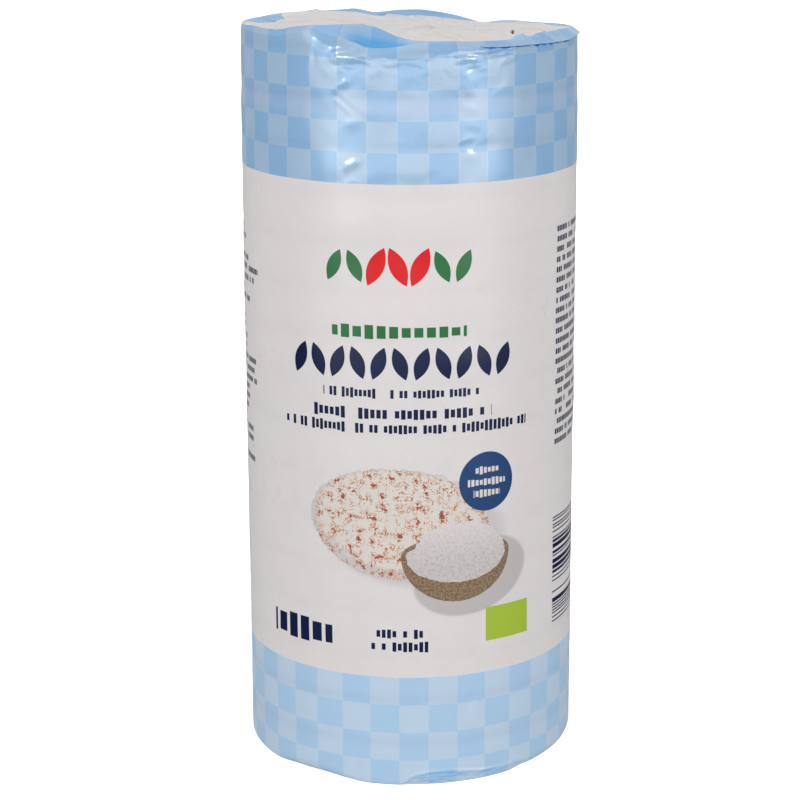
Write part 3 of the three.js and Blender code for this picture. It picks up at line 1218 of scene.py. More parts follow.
@dataclass
class Desk:
    """One node tree that a finish is laid out in."""

    tree: bpy.types.NodeTree

    def node(self, kind: str, **settings: object) -> bpy.types.Node:
        """Adds a node.

        Args:
            kind: Blender's name for the kind of node.
            **settings: The node's own settings.

        Returns:
            The node.
        """
        made = self.tree.nodes.new(kind)
        for name, value in settings.items():
            setattr(made, name, value)
        return made

    def put(self, target: bpy.types.NodeSocket, value: Term) -> None:
        """Sets an input to a number, or links a worked-out number to it."""
        if isinstance(value, Scalar):
            self.tree.links.new(value.socket, target)
        else:
            target.default_value = value

    def math(self, operation: str, *terms: Term) -> Scalar:
        """Adds one sum.

        Args:
            operation: Blender's name for the sum.
            *terms: What goes into it.

        Returns:
            Its result.
        """
        made = self.node("ShaderNodeMath", operation=operation)
        for target, term in zip(made.inputs, terms):
            self.put(target, term)
        return Scalar(self, made.outputs[0])

    def random(self, value: Scalar, seed: float) -> Scalar:
        """A random number from 0 to 1 for each value."""
        made = self.node("ShaderNodeTexWhiteNoise", noise_dimensions="1D")
        self.put(made.inputs["W"], value + seed)
        return Scalar(self, made.outputs["Value"])

    def lay(self, under: bpy.types.NodeSocket, ink: "Ink", mask: Term) -> bpy.types.NodeSocket:
        """Lays an ink over a colour.

        Args:
            under: The colour beneath.
            ink: The ink.
            mask: Where it goes, from 0 to 1.

        Returns:
            The colour after it.
        """
        made = self.node("ShaderNodeMix", data_type="RGBA")
        self.put(made.inputs["Factor"], mask)
        self.tree.links.new(under, made.inputs["A"])
        made.inputs["B"].default_value = ink.value
        return made.outputs["Result"]


class Ink(Enum):
    """The colours of the print."""

    WHITE = srgb(209, 205, 205)
    LIGHT = srgb(181, 201, 221)
    DARK = srgb(163, 194, 222)
    # Darker copies of LIGHT and DARK for the upper band of the same check: painted shade
    UPPER_LIGHT_SHADED = srgb(153, 180, 205)
    UPPER_DARK_SHADED = srgb(131, 170, 206)
    LINE = srgb(184, 200, 218)
    # Deeper blue of film hanging free of the cakes, also laid as painted shade in hollows and under folds
    LOOSE_AND_SHADE = srgb(36, 146, 208)
    BLUSH = srgb(186, 186, 212)
    # Painted shade in the gaps between the cakes, laid by multiplying
    GAP_SHADE = srgb(222, 212, 222)
    SCUFF = srgb(120, 118, 116)
    # Painted shadow inside the tears
    TEAR_SHADOW = srgb(96, 84, 76)
    NAVY = srgb(16, 26, 62)
    DISC = srgb(35, 65, 109)
    GREEN = srgb(40, 104, 58)
    LEAF = srgb(154, 180, 58)
    RED = srgb(206, 26, 30)
    CAKE = srgb(207, 201, 196)
    TOAST = srgb(146, 36, 12)
    CRUST = srgb(198, 158, 104)
    SHADE = srgb(186, 182, 184)
    SHADOW = srgb(161, 155, 154)
    BOWL = srgb(142, 120, 97)
    WOOD = srgb(90, 70, 54)
    SALT = srgb(206, 201, 200)
    HOLLOW = srgb(158, 152, 151)


@dataclass(frozen=True)
class Place:
    """A point of the print: millimetres of film to the right of the front and up from the band's middle."""

    x: float
    y: float


@dataclass(frozen=True)
class Oval:
    """An oval of the print.

    Attributes:
        at: Its middle.
        width: Its full width.
        height: Its full height.
        tilt: How far it is turned anticlockwise.
    """

    at: Place
    width: float
    height: float
    tilt: float = 0.0


@dataclass(frozen=True)
class Box:
    """A filled rectangle of the print, by its middle and its full size."""

    at: Place
    width: float
    height: float


@dataclass(frozen=True)
class Dashes:
    """A row of uneven dashes that fills a line.

    Attributes:
        at: The middle of the row.
        width: The row's length.
        height: The dashes' height.
        pitch: The distance from one stroke to the next.
        seed: Picks one pattern.
        gap: The share of strokes that are left out.
    """

    at: Place
    width: float
    height: float
    pitch: float
    seed: float
    gap: float = 0.2


@dataclass(frozen=True)
class Block:
    """A panel of lines of dashes, with ragged right ends.

    Attributes:
        low: The panel's lower left corner.
        width: The panel's width.
        height: The panel's height.
        line: The distance from one line to the next.
        pitch: The distance from one stroke to the next.
        seed: Picks one pattern.
    """

    low: Place
    width: float
    height: float
    line: float
    pitch: float
    seed: float


@dataclass(frozen=True)
class Grains:
    """A row of grain shapes, each pointed at both ends and leaning in turn to left and right.

    Attributes:
        at: The middle of the row.
        pitch: The distance from one grain to the next.
        count: How many there are, an odd number.
        length: A grain's length.
        plump: A grain's width.
        lean: How far each leans from upright.
    """

    at: Place
    pitch: float
    count: int
    length: float
    plump: float
    lean: float


# The rows of grains and of dashes on the white band's front, from the top down
RED_GRAINS = Grains(Place(-3.9, 47.2), 6.0, 3, 11.5, 4.6, 24.0)
GREEN_GRAINS = Grains(Place(-3.9, 47.2), 6.0, 7, 9.5, 3.8, 24.0)
RED_HALF = 9.0
GREEN_DASHES = Dashes(Place(-3.8, 29.3), 37.6, 4.0, 3.4, 2.0, 0.0)
NAVY_GRAINS = Grains(Place(-3.4, 20.6), 5.9, 11, 9.6, 4.0, 20.0)
NAVY_DASHES = (
    Dashes(Place(-3.4, 12.2), 44.2, 3.0, 1.25, 5.0),
    Dashes(Place(-3.2, 6.5), 51.4, 3.6, 1.7, 8.0, 0.12),
    Dashes(Place(-3.0, 2.3), 74.8, 3.2, 1.35, 11.0, 0.16),
    Dashes(Place(-34.5, -58.4), 22.0, 9.0, 4.4, 17.0, 0.0),
    Dashes(Place(-3.8, -56.6), 13.0, 3.2, 1.5, 21.0, 0.1),
    Dashes(Place(-3.8, -60.4), 16.0, 3.2, 1.5, 25.0, 0.1),
)

# The picture: a puffed cake and a plain bowl of salt with their shadows, and the blue disc beside them
CAKE_SHADE = Oval(Place(0.5, -27.4), 53.0, 31.0, -4.0)
CAKE_TOP = Oval(Place(-3.8, -25.0), 52.5, 32.0, -5.0)
CAKE_SIDE = Oval(Place(-3.8, -23.6), 51.0, 29.6, -5.0)
BOWL_SHADE = Oval(Place(17.3, -40.6), 35.4, 22.0, 12.0)
BOWL_MIDDLE = Place(12.6, -34.0)
RIM_NEAR = Oval(BOWL_MIDDLE, 31.9, 18.0)
RIM_FAR = Oval(BOWL_MIDDLE, 31.9, 11.4)
BOWL_HULL = Oval(BOWL_MIDDLE, 31.9, 27.0)
SALT_NEAR = Oval(BOWL_MIDDLE, 29.2, 15.8)
SALT_FAR = Oval(BOWL_MIDDLE, 29.2, 8.6)
SALT_MOUND = Oval(Place(13.4, -34.0), 27.0, 18.8)
BLUE_DISC = Oval(Place(21.2, -13.7), 16.7, 16.9)
DISC_DASHES = (
    Dashes(Place(21.2, -10.4), 7.6, 2.3, 1.25, -10.4, 0.0),
    Dashes(Place(21.2, -13.8), 11.6, 2.3, 1.25, -13.8, 0.0),
    Dashes(Place(21.2, -17.0), 8.2, 2.3, 1.25, -17.0, 0.0),
)
GREEN_BOX = Box(Place(28.4, -55.4), 14.6, 9.9)

# The panels round the sides and back
PANELS = (
    Block(Place(48.0, -9.0), 42.0, 63.8, 2.9, 1.15, 41.0),
    Block(Place(-96.0, -16.0), 43.0, 70.2, 2.9, 1.15, 47.0),
    Block(Place(100.0, -60.0), 36.0, 114.0, 3.3, 1.25, 53.0),
)
LADDER = Box(Place(58.5, -45.7), 21.0, 33.0)
LADDER_PITCH = 0.42

# The level of a paler line across the upper checks, and the one place where the print is scuffed
BLUSH_LEVEL = 89.6
SCUFFED = Oval(Place(8.0, 96.0), 9.0, 6.0)


@dataclass
class PrintShop:
    """Shapes that the print is made of, as masks over the film's print coordinates."""

    desk: Desk
    x: Scalar
    y: Scalar

    def spot(self) -> bpy.types.Node:
        """A node that gives the print coordinates as a point."""
        made = self.desk.node("ShaderNodeCombineXYZ")
        self.desk.put(made.inputs[0], self.x)
        self.desk.put(made.inputs[1], self.y)
        return made

    def box(self, box: Box) -> Scalar:
        """Where a rectangle is: 1 on it and 0 elsewhere."""
        beside, over = (self.x - box.at.x).size(), (self.y - box.at.y).size()
        return (beside < box.width / 2) * (over < box.height / 2)

    def oval(self, oval: Oval, rough: Term = 0.0) -> Scalar:
        """How far a point lies from an oval's middle, as a share of the way to its edge.

        Args:
            oval: The oval.
            rough: Added to the share, to make the edge uneven.

        Returns:
            The share, which is 1 on the edge.
        """
        dx, dy = self.x - oval.at.x, self.y - oval.at.y
        c, s = math.cos(math.radians(oval.tilt)), math.sin(math.radians(oval.tilt))
        u = (dx * c + dy * s) / (oval.width / 2)
        v = (dy * c - dx * s) / (oval.height / 2)
        return self.desk.math("SQRT", u * u + v * v) + rough

    def dashes(self, row: Dashes) -> Scalar:
        """Where a row's dashes are.

        Args:
            row: The row.

        Returns:
            The mask.
        """
        cell = (self.x / row.pitch).floor()
        drawn = self.desk.random(cell, row.seed) > row.gap
        tall = self.desk.random(cell, row.seed + 31.7) * 0.22 + 0.28
        stroke = ((self.x / row.pitch).part() - 0.5).size() < 0.36
        beside, over = (self.x - row.at.x).size(), (self.y - row.at.y).size()
        return (beside < row.width / 2) * (over < tall * row.height) * stroke * drawn

    def block(self, panel: Block) -> Scalar:
        """Where a panel's dashes are.

        Args:
            panel: The panel.

        Returns:
            The mask.
        """
        dx, rise = self.x - panel.low.x, (self.y - panel.low.y) / panel.line
        row, within = rise.floor(), rise.part()
        cell = (self.x / panel.pitch).floor()
        drawn = self.desk.random(cell + row * 57.0, panel.seed) > 0.17
        end = (self.desk.random(row, panel.seed + 3.3) * 0.45 + 0.6).least(1.0) * panel.width
        inside = (dx > 0.0) * (dx < end) * (row > -0.5) * (row < panel.height / panel.line - 0.5)
        stroke = ((self.x / panel.pitch).part() < 0.78) * ((within - 0.5).size() < 0.27)
        return inside * stroke * drawn

    def grains(self, row: Grains) -> Scalar:
        """Where a row's grains are.

        Args:
            row: The row.

        Returns:
            The mask.
        """
        place = (self.x - row.at.x) / row.pitch + 0.5
        cell = place.floor()
        way = (cell * 0.5).part() * 4.0 - 1.0
        dx, dy = (place.part() - 0.5) * row.pitch, self.y - row.at.y
        c, s = math.cos(math.radians(row.lean)), math.sin(math.radians(row.lean))
        u = (dy * c + dx * way * s) / (row.length / 2)
        v = (dx * c - dy * way * s).size()
        taper = 1.0 - u * u
        return (v < taper * (row.plump / 2)) * (cell.size() < row.count / 2)


@dataclass(frozen=True)
class PrintedFilm:
    """Thin plastic film, printed with a pale blue check and a white band, over white puffed cakes.

    Attributes:
        roughness: The film's roughness.
        sheen: Its own gloss, under the coat.
        coat: How much clear coat the check has.
        label_coat: How much of it the white band has.
        coat_fade: How much of it fades where the film is seen at a slant.
        fade_slant: The slants over which it fades.
        coat_roughness: The coat's roughness.
        crinkle: The strength of the fine crinkles.
        crinkle_depth: Their depth, in metres.
        crinkle_scale: How close together the broad ones are.
        fine_scale: How close together the fine ones are.
        print_grain: The strength of the print's fine grain.
        print_cloud: The strength of its broad clouds.
        line_ink: How strongly the lines between the check's columns are printed.
        blush_ink: How strongly the paler line across the upper checks is.
        loose_and_shade_ink: How much deeper the blue is where the film hangs free of the cakes, and how
            strong the painted shade is in hollows and under folds.
        gap_shade_ink: How strongly the painted shade in the gaps between cakes shows on the white film, and
            how much more on the check.
    """

    roughness: float = 0.3
    sheen: float = 0.12
    coat: float = 1.0
    label_coat: float = 0.22
    coat_fade: float = 0.8
    fade_slant: tuple[float, float] = (0.35, 0.85)
    coat_roughness: float = 0.12
    crinkle: float = 0.12
    crinkle_depth: float = 0.002
    crinkle_scale: float = 55.0
    fine_scale: float = 330.0
    print_grain: float = 0.1
    print_cloud: float = 0.05
    line_ink: float = 0.32
    blush_ink: float = 0.16
    loose_and_shade_ink: float = 0.9
    gap_shade_ink: tuple[float, float] = (0.05, 0.12)

    def make(self) -> bpy.types.Material:
        """Lays out the finish.

        Returns:
            The material.
        """
        material = bpy.data.materials.new("printed_film")
        material.use_nodes = True
        desk = Desk(material.node_tree)
        shader = material.node_tree.nodes["Principled BSDF"]
        where = desk.node("ShaderNodeUVMap", uv_map=PRINT_MAP)
        split = desk.node("ShaderNodeSeparateXYZ")
        desk.tree.links.new(where.outputs["UV"], split.inputs[0])
        shop = PrintShop(desk, Scalar(desk, split.outputs["X"]), Scalar(desk, split.outputs["Y"]))
        colour = self.ground(shop)
        colour = self.label(shop, colour)
        colour = self.panels(shop, colour)
        desk.tree.links.new(colour, shader.inputs["Base Color"])
        shader.inputs["Specular IOR Level"].default_value = self.sheen
        shader.inputs["Coat Roughness"].default_value = self.coat_roughness
        self.surface(desk, shader)
        gloss = self.blue_band(shop) * (self.coat - self.label_coat) + self.label_coat
        slant = desk.node("ShaderNodeLayerWeight")
        grazing = Scalar(desk, slant.outputs["Facing"]).ramp(*self.fade_slant)
        desk.put(shader.inputs["Coat Weight"], gloss * (1.0 - grazing * self.coat_fade))
        return material

    @staticmethod
    def blue_band(shop: PrintShop) -> Scalar:
        """Where the two bands of checks are: 1 on them and 0 elsewhere."""
        height = shop.y.size()
        return (height > WHITE_HALF) * (height < BLUE_END)

    def ground(self, shop: PrintShop) -> bpy.types.NodeSocket:
        """The white film with its two bands of checks.

        Args:
            shop: The print's shapes.

        Returns:
            The colour so far.
        """
        desk = shop.desk
        start = desk.node("ShaderNodeRGB")
        start.outputs[0].default_value = Ink.WHITE.value
        column = shop.x / CHECK - CHECK_START
        rise = (shop.y.size() - WHITE_HALF) / CHECK
        upper = shop.y > 0.0
        parity = ((column.floor() + rise.floor() + upper + 100.0) * 0.5).part() * 2.0
        blue = self.blue_band(shop)
        colour = desk.lay(start.outputs[0], Ink.LIGHT, blue)
        colour = desk.lay(colour, Ink.DARK, blue * parity)
        # The upper band's check is painted darker than the lower band's: painted shade
        colour = desk.lay(colour, Ink.UPPER_LIGHT_SHADED, blue * upper * (1.0 - parity))
        colour = desk.lay(colour, Ink.UPPER_DARK_SHADED, blue * upper * parity)
        border = (column.part() - 0.5).size() > 0.485
        colour = desk.lay(colour, Ink.LINE, blue * border * self.line_ink)
        blush = ((shop.y - BLUSH_LEVEL).size() * -1.0).ramp(-2.6, -1.0)
        colour = desk.lay(colour, Ink.BLUSH, blue * blush * self.blush_ink)
        # Deeper blue where the film hangs free of the cakes, with painted shade in hollows and under folds
        free = desk.node("ShaderNodeAttribute", attribute_name=LOOSE_AND_SHADE)
        colour = desk.lay(colour, Ink.LOOSE_AND_SHADE, blue * Scalar(desk, free.outputs["Fac"]) * self.loose_and_shade_ink)
        # Painted shadow inside the tears
        torn_shadow = Scalar(desk, desk.node("ShaderNodeAttribute", attribute_name=TORN_SHADOW).outputs["Fac"])
        colour = desk.lay(colour, Ink.TEAR_SHADOW, torn_shadow.ramp(0.35, 0.7))
        return self.grain(shop, self.gap_shade_bands(shop, colour, blue))

    def grain(self, shop: PrintShop, colour: bpy.types.NodeSocket) -> bpy.types.NodeSocket:
        """The fine grain of the print, and a few scuffs.

        Args:
            shop: The print's shapes.
            colour: The colour so far.

        Returns:
            The colour with them.
        """
        desk = shop.desk
        spot = shop.spot()
        made = desk.node("ShaderNodeMix", data_type="RGBA", blend_type="MULTIPLY")
        made.inputs["Factor"].default_value = 1.0
        desk.tree.links.new(colour, made.inputs["A"])
        fine = self.speckle(desk, spot, 2.6, 1.0)
        broad = self.speckle(desk, spot, 0.16, 3.0)
        shade = (fine - 0.5) * self.print_grain + (broad - 0.5) * self.print_cloud + 1.0
        desk.put(made.inputs["B"], shade)
        patch = shop.oval(SCUFFED).ramp(0.5, 1.0)
        marks = self.speckle(desk, spot, 1.1, 4.0).ramp(0.6, 0.7)
        return desk.lay(made.outputs["Result"], Ink.SCUFF, (1.0 - patch) * marks * 0.4)

    def gap_shade_bands(
        self, shop: PrintShop, colour: bpy.types.NodeSocket, blue: Scalar
    ) -> bpy.types.NodeSocket:
        """Painted shade: faint darker bands where the gaps between the cakes show through the film.

        Args:
            shop: The print's shapes.
            colour: The colour so far.

        Returns:
            The colour with the bands.
        """
        desk = shop.desk
        level = ((shop.y + PRINT_MIDDLE) / CAKE_PITCH).part()
        gap = (level - 0.5).size().ramp(0.3, 0.5)
        made = desk.node("ShaderNodeMix", data_type="RGBA", blend_type="MULTIPLY")
        on_white, on_blue = self.gap_shade_ink
        desk.put(made.inputs["Factor"], gap * (blue * on_blue + on_white))
        desk.tree.links.new(colour, made.inputs["A"])
        made.inputs["B"].default_value = Ink.GAP_SHADE.value
        return made.outputs["Result"]

    def label(self, shop: PrintShop, colour: bpy.types.NodeSocket) -> bpy.types.NodeSocket:
        """The shapes on the front of the white band.

        Args:
            shop: The print's shapes.
            colour: The colour so far.

        Returns:
            The colour with them.
        """
        lay = shop.desk.lay
        colour = lay(colour, Ink.RED, shop.grains(RED_GRAINS))
        outer = (shop.x - GREEN_GRAINS.at.x).size() > RED_HALF
        colour = lay(colour, Ink.GREEN, shop.grains(GREEN_GRAINS) * outer)
        colour = lay(colour, Ink.GREEN, shop.dashes(GREEN_DASHES))
        colour = lay(colour, Ink.NAVY, shop.grains(NAVY_GRAINS))
        for row in NAVY_DASHES:
            colour = lay(colour, Ink.NAVY, shop.dashes(row))
        colour = self.picture(shop, colour)
        colour = lay(colour, Ink.DISC, shop.oval(BLUE_DISC) < 1.0)
        for row in DISC_DASHES:
            colour = lay(colour, Ink.SALT, shop.dashes(row))
        return lay(colour, Ink.LEAF, shop.box(GREEN_BOX))

    def picture(self, shop: PrintShop, colour: bpy.types.NodeSocket) -> bpy.types.NodeSocket:
        """A flecked oval for a puffed cake, and a plain bowl before it.

        Args:
            shop: The print's shapes.
            colour: The colour so far.

        Returns:
            The colour with them.
        """
        desk, lay = shop.desk, shop.desk.lay
        spot = shop.spot()
        crumb = self.speckle(desk, spot, 0.42, 3.0)
        fine = self.speckle(desk, spot, 0.95, 4.0)
        sand = self.speckle(desk, spot, 1.7, 4.0)
        edge = (fine - 0.5) * 0.06 + (crumb - 0.5) * 0.12
        colour = lay(colour, Ink.SHADE, (1.0 - shop.oval(CAKE_SHADE).ramp(0.88, 1.1)) * 0.75)
        cake = shop.oval(CAKE_TOP, edge) < 1.0
        colour = lay(colour, Ink.CAKE, cake)
        vein = (fine - 0.5).size() * -1.0
        side = shop.oval(CAKE_SIDE, edge).ramp(0.9, 1.0)
        colour = lay(colour, Ink.SHADE, cake * side * 0.8)
        colour = lay(colour, Ink.SHADE, cake * vein.ramp(-0.05, -0.01) * 0.35)
        colour = lay(colour, Ink.CRUST, cake * vein.ramp(-0.08, -0.03) * crumb.ramp(0.4, 0.54) * 0.75)
        colour = lay(colour, Ink.TOAST, cake * vein.ramp(-0.026, -0.012) * crumb.ramp(0.46, 0.56) * 0.95)
        colour = lay(colour, Ink.TOAST, cake * crumb.ramp(0.645, 0.68) * 0.85)
        colour = lay(colour, Ink.SHADOW, (1.0 - shop.oval(BOWL_SHADE).ramp(0.94, 1.03)) * 0.66)
        near, far = shop.y < BOWL_MIDDLE.y, shop.y > BOWL_MIDDLE.y - 0.1
        rim = ((shop.oval(RIM_NEAR) < 1.0) * near).most((shop.oval(RIM_FAR) < 1.0) * far)
        bowl = rim.most((shop.oval(BOWL_HULL) < 1.0) * near)
        colour = lay(colour, Ink.BOWL, bowl)
        colour = lay(colour, Ink.WOOD, bowl * sand.ramp(0.4, 0.62) * 0.7)
        mound = (shop.oval(SALT_MOUND, edge) < 1.0) * far
        back = (shop.oval(SALT_FAR, edge * 0.5) < 1.0) * far
        front = (shop.oval(SALT_NEAR, edge * 0.5) < 1.0) * near
        salt = mound.most(front).most(back)
        colour = lay(colour, Ink.SALT, salt)
        low = (shop.y * -1.0).ramp(24.0, 39.0)
        colour = lay(colour, Ink.HOLLOW, salt * low * 0.35)
        pits = fine.ramp(0.35, 0.6) * sand.ramp(0.4, 0.6) * (low * 0.4 + 0.24)
        return lay(colour, Ink.HOLLOW, salt * pits)

    @staticmethod
    def speckle(desk: Desk, spot: bpy.types.Node, scale: float, detail: float) -> Scalar:
        """Soft random speckles over the print.

        Args:
            desk: The finish's node tree.
            spot: The node that gives the print coordinates.
            scale: Speckles per millimetre, roughly.
            detail: How much finer detail they hold.

        Returns:
            A number about 0.5.
        """
        made = desk.node("ShaderNodeTexNoise", noise_dimensions="2D")
        desk.tree.links.new(spot.outputs[0], made.inputs["Vector"])
        made.inputs["Scale"].default_value = scale
        made.inputs["Detail"].default_value = detail
        return Scalar(desk, made.outputs["Fac"])

    def panels(self, shop: PrintShop, colour: bpy.types.NodeSocket) -> bpy.types.NodeSocket:
        """The panels of dashes and the ladder of bars round the sides and back.

        Args:
            shop: The print's shapes.
            colour: The colour so far.

        Returns:
            The colour with them.
        """
        lay = shop.desk.lay
        for panel in PANELS:
            colour = lay(colour, Ink.NAVY, shop.block(panel))
        bar = shop.desk.random((shop.y / LADDER_PITCH).floor(), 61.0) > 0.52
        return lay(colour, Ink.NAVY, shop.box(LADDER) * bar)

    def surface(self, desk: Desk, shader: bpy.types.Node) -> None:
        """The film's uneven gloss and its fine crinkles.

        Args:
            desk: The finish's node tree.
            shader: The shader that they go to.
        """
        place = desk.node("ShaderNodeTexCoord")
        broad = desk.node("ShaderNodeTexNoise")
        broad.inputs["Scale"].default_value = self.crinkle_scale
        broad.inputs["Detail"].default_value = 4.0
        fine = desk.node("ShaderNodeTexNoise")
        fine.inputs["Scale"].default_value = self.fine_scale
        fine.inputs["Detail"].default_value = 3.0
        for made in (broad, fine):
            desk.tree.links.new(place.outputs["Object"], made.inputs["Vector"])
        gloss = Scalar(desk, broad.outputs["Fac"]) * 0.16 + (self.roughness - 0.08)
        desk.tree.links.new(gloss.socket, shader.inputs["Roughness"])
        height = Scalar(desk, broad.outputs["Fac"]) + Scalar(desk, fine.outputs["Fac"]) * 0.14
        bump = desk.node("ShaderNodeBump")
        bump.inputs["Strength"].default_value = self.crinkle
        bump.inputs["Distance"].default_value = self.crinkle_depth
        desk.tree.links.new(height.socket, bump.inputs["Height"])
        desk.tree.links.new(bump.outputs["Normal"], shader.inputs["Normal"])


@dataclass
class Pack:
    """The whole dressed pack."""

    roll: Roll = field(default_factory=Roll)
    finish: PrintedFilm = field(default_factory=PrintedFilm)

    def build(self) -> list[bpy.types.Object]:
        """Builds and dresses the pack's pieces.

        Returns:
            The pieces.
        """
        material = self.finish.make()
        pieces = [*Wrap(self.roll).build(), BackSeam(self.roll).build()]
        for piece in pieces:
            piece.data.materials.append(material)
            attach(piece, BODY)
            log.info("built %s with %d faces", piece.name, len(piece.data.polygons))
        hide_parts(NODE)
        return pieces


@dataclass(frozen=True)
class Softbox:
    """A soft rectangular light that faces the pack.

    Attributes:
        name: The light's name.
        turn: The side that it stands on.
        distance: How far from the axis it stands.
        height: How high it hangs.
        width: Its width.
        tall: Its other side.
        power: Its power in watts.
        aim: The height on the axis that it faces.
        mirrored: Whether the film's gloss shows it.
    """

    name: str
    turn: float
    distance: float
    height: float
    width: float
    tall: float
    power: float
    aim: float = 110.0
    mirrored: bool = True

    def build(self) -> bpy.types.Object:
        """Hangs the light.

        Returns:
            The light's object.
        """
        data = bpy.data.lights.new(self.name, "AREA")
        data.shape, data.size, data.size_y = "RECTANGLE", self.width * MM, self.tall * MM
        data.energy = self.power
        lamp = bpy.data.objects.new(self.name, data)
        angle = math.radians(self.turn)
        lamp.location = Vector((math.sin(angle), -math.cos(angle), 0)) * self.distance * MM
        lamp.location.z = self.height * MM
        towards = Vector((0, 0, self.aim * MM)) - lamp.location
        lamp.rotation_euler = towards.to_track_quat("-Z", "Y").to_euler()
        lamp.visible_glossy = self.mirrored
        bpy.context.scene.collection.objects.link(lamp)
        return lamp


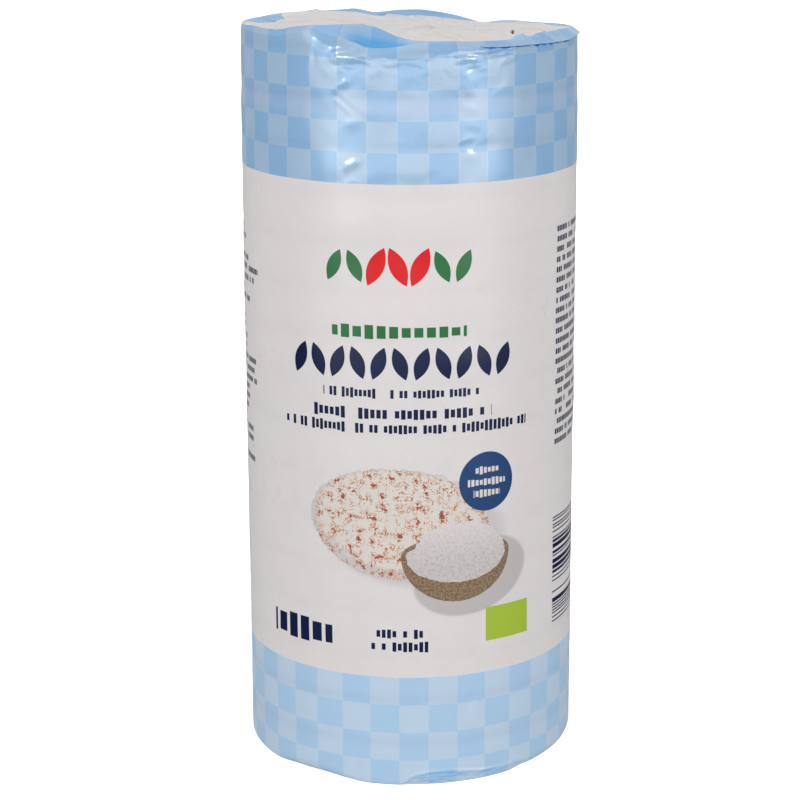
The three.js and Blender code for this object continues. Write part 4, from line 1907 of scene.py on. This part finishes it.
@dataclass(frozen=True)
class Studio:
    """The pale floor, the bright surround and the lights.

    Each band is a pair of values, where an ease sets in and where it is full.

    Attributes:
        floor_size: The floor's side.
        surround: How brightly the surround lights the pack.
        floor_glow: How bright the floor itself is.
        dim: How bright the surround is at least in the film's gloss.
        front_glow: How much brighter its front is there.
        patch_glow: How much brighter two patches of the front are.
        back_glow: How much brighter its back is.
        sky_glow: How much brighter it is above.
        under_glow: How much more light it sends from below.
        front_band: Where the front sets in, by how far a direction points to the front.
        back_band: Where the back sets in, by how far it points to the back.
        foot_band: Where the front sets in from below, by how far it points up.
        head_band: Where the front ends above.
        sky_band: Where the light from above sets in.
        under_band: Where the light from below sets in, by how far it points down.
        patch_side: How far to the left and right the two patches lie.
        patch_front: How far to the front they lie.
        patch_reach: How far they reach.
        lights: The lights.
    """

    floor_size: float = 12000.0
    surround: float = 0.62
    floor_glow: float = 0.8
    dim: float = 0.05
    front_glow: float = 3.3
    patch_glow: float = 1.6
    back_glow: float = 0.32
    sky_glow: float = 0.55
    under_glow: float = 0.3
    front_band: tuple[float, float] = (0.15, 0.6)
    back_band: tuple[float, float] = (0.6, 0.95)
    foot_band: tuple[float, float] = (-0.3, -0.1)
    head_band: tuple[float, float] = (0.1, 0.38)
    sky_band: tuple[float, float] = (0.0, 0.1)
    under_band: tuple[float, float] = (-0.2, 0.8)
    patch_side: float = 0.69
    patch_front: float = 0.72
    patch_reach: float = 0.5
    lights: tuple[Softbox, ...] = (
        Softbox("left_softbox", -45, 1150, 340, 150, 300, 2.2),
        Softbox("right_softbox", 43, 1150, 340, 150, 300, 2.1),
        Softbox("front_fill", -2, 1600, 350, 700, 700, 4.6, mirrored=False),
        Softbox("left_fill", -120, 1300, 60, 600, 500, 3.6, aim=70.0, mirrored=False),
        Softbox("right_fill", 120, 1300, 60, 600, 500, 3.5, aim=70.0, mirrored=False),
        Softbox("overhead", 180, 150, 1500, 1800, 1800, 8.0),
    )

    def build(self) -> None:
        """Lays the floor, lights the surround and hangs the lights."""
        half = self.floor_size / 2 * MM
        data = bpy.data.meshes.new("floor")
        corners = [(-half, -half, 0), (half, -half, 0), (half, half, 0), (-half, half, 0)]
        data.from_pydata(corners, [], [(0, 1, 2, 3)])
        floor = bpy.data.objects.new("floor", data)
        bpy.context.scene.collection.objects.link(floor)
        material = bpy.data.materials.new("pale_floor")
        material.use_nodes = True
        shader = material.node_tree.nodes["Principled BSDF"]
        shader.inputs["Base Color"].default_value = srgb(232, 232, 232)
        shader.inputs["Roughness"].default_value = 0.9
        shader.inputs["Specular IOR Level"].default_value = 0.1
        shader.inputs["Emission Color"].default_value = (1.0, 1.0, 1.0, 1.0)
        shader.inputs["Emission Strength"].default_value = self.floor_glow
        data.materials.append(material)
        floor.visible_diffuse = False
        floor.visible_glossy = False
        self.surroundings()
        for light in self.lights:
            light.build()
        bpy.context.scene.view_settings.view_transform = "Standard"

    def surroundings(self) -> None:
        """Lights the pack evenly, while its gloss mirrors a bright front with two patches and dim sides."""
        world = bpy.data.worlds.new("surround")
        bpy.context.scene.world = world
        world.use_nodes = True
        desk = Desk(world.node_tree)
        back = world.node_tree.nodes["Background"]
        back.inputs["Color"].default_value = (1.0, 1.0, 1.0, 1.0)
        way = desk.node("ShaderNodeSeparateXYZ")
        desk.tree.links.new(desk.node("ShaderNodeTexCoord").outputs["Generated"], way.inputs[0])
        east, north, up = (Scalar(desk, way.outputs[axis]) for axis in "XYZ")
        front = (north * -1.0).ramp(*self.front_band)
        beside = (east.size() - self.patch_side).size() + (north + self.patch_front).size()
        patches = (beside * -1.0).ramp(-self.patch_reach, 0.0)
        level = up.ramp(*self.foot_band) * (1.0 - up.ramp(*self.head_band))
        bright = (front * self.front_glow + patches * self.patch_glow) * level
        behind = north.ramp(*self.back_band) * self.back_glow
        mirrored = bright + behind + up.ramp(*self.sky_band) * self.sky_glow + self.dim
        paths = desk.node("ShaderNodeLightPath")
        glossy, seen = (Scalar(desk, paths.outputs[kind]) for kind in ("Is Glossy Ray", "Is Camera Ray"))
        plain = (up * -1.0).ramp(*self.under_band) * self.under_glow + self.surround
        strength = glossy * (mirrored - plain) + seen * (1.0 - plain) + plain
        desk.put(back.inputs["Strength"], strength)


@dataclass(frozen=True)
class PhotoCamera:
    """The camera that sees the pack as the photograph does.

    Attributes:
        x: Its place to the right of the axis.
        y: Its place behind the axis, less than nothing in front of it.
        z: Its height.
        pitch: How far it looks down.
        yaw: How far it looks to the right.
        roll: How far it is turned about its own view.
        lens: Its focal length.
        sensor: The width of its sensor.
    """

    x: float = -10.26
    y: float = -668.9
    z: float = 273.2
    pitch: float = 14.482826
    yaw: float = 0.628787
    roll: float = -0.202176
    lens: float = 106.685
    sensor: float = 36.0

    def build(self) -> bpy.types.Object:
        """Sets up the camera as the scene's own.

        Returns:
            The camera's object.
        """
        pitch, yaw, roll = (math.radians(a) for a in (self.pitch, self.yaw, self.roll))
        flat = math.cos(pitch)
        ahead = Vector((math.sin(yaw) * flat, math.cos(yaw) * flat, -math.sin(pitch)))
        level = ahead.cross(Vector((0, 0, 1))).normalized()
        upright = level.cross(ahead)
        right = math.cos(roll) * level + math.sin(roll) * upright
        above = math.cos(roll) * upright - math.sin(roll) * level
        data = bpy.data.cameras.new("photo_camera")
        data.sensor_width, data.lens = self.sensor, self.lens
        camera = bpy.data.objects.new("photo_camera", data)
        turned = Matrix((right, above, -ahead)).transposed()
        place = Vector((self.x, self.y, self.z)) * MM
        camera.matrix_world = Matrix.Translation(place) @ turned.to_4x4()
        bpy.context.scene.collection.objects.link(camera)
        bpy.context.scene.camera = camera
        return camera


def main() -> None:
    """Builds the camera, the studio and the pack in order."""
    logging.basicConfig(level=logging.INFO, format="%(message)s")
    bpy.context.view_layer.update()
    PhotoCamera().build()
    Studio().build()
    Pack().build()
    log.info("boxes written")


if __name__ == "__main__":
    main()
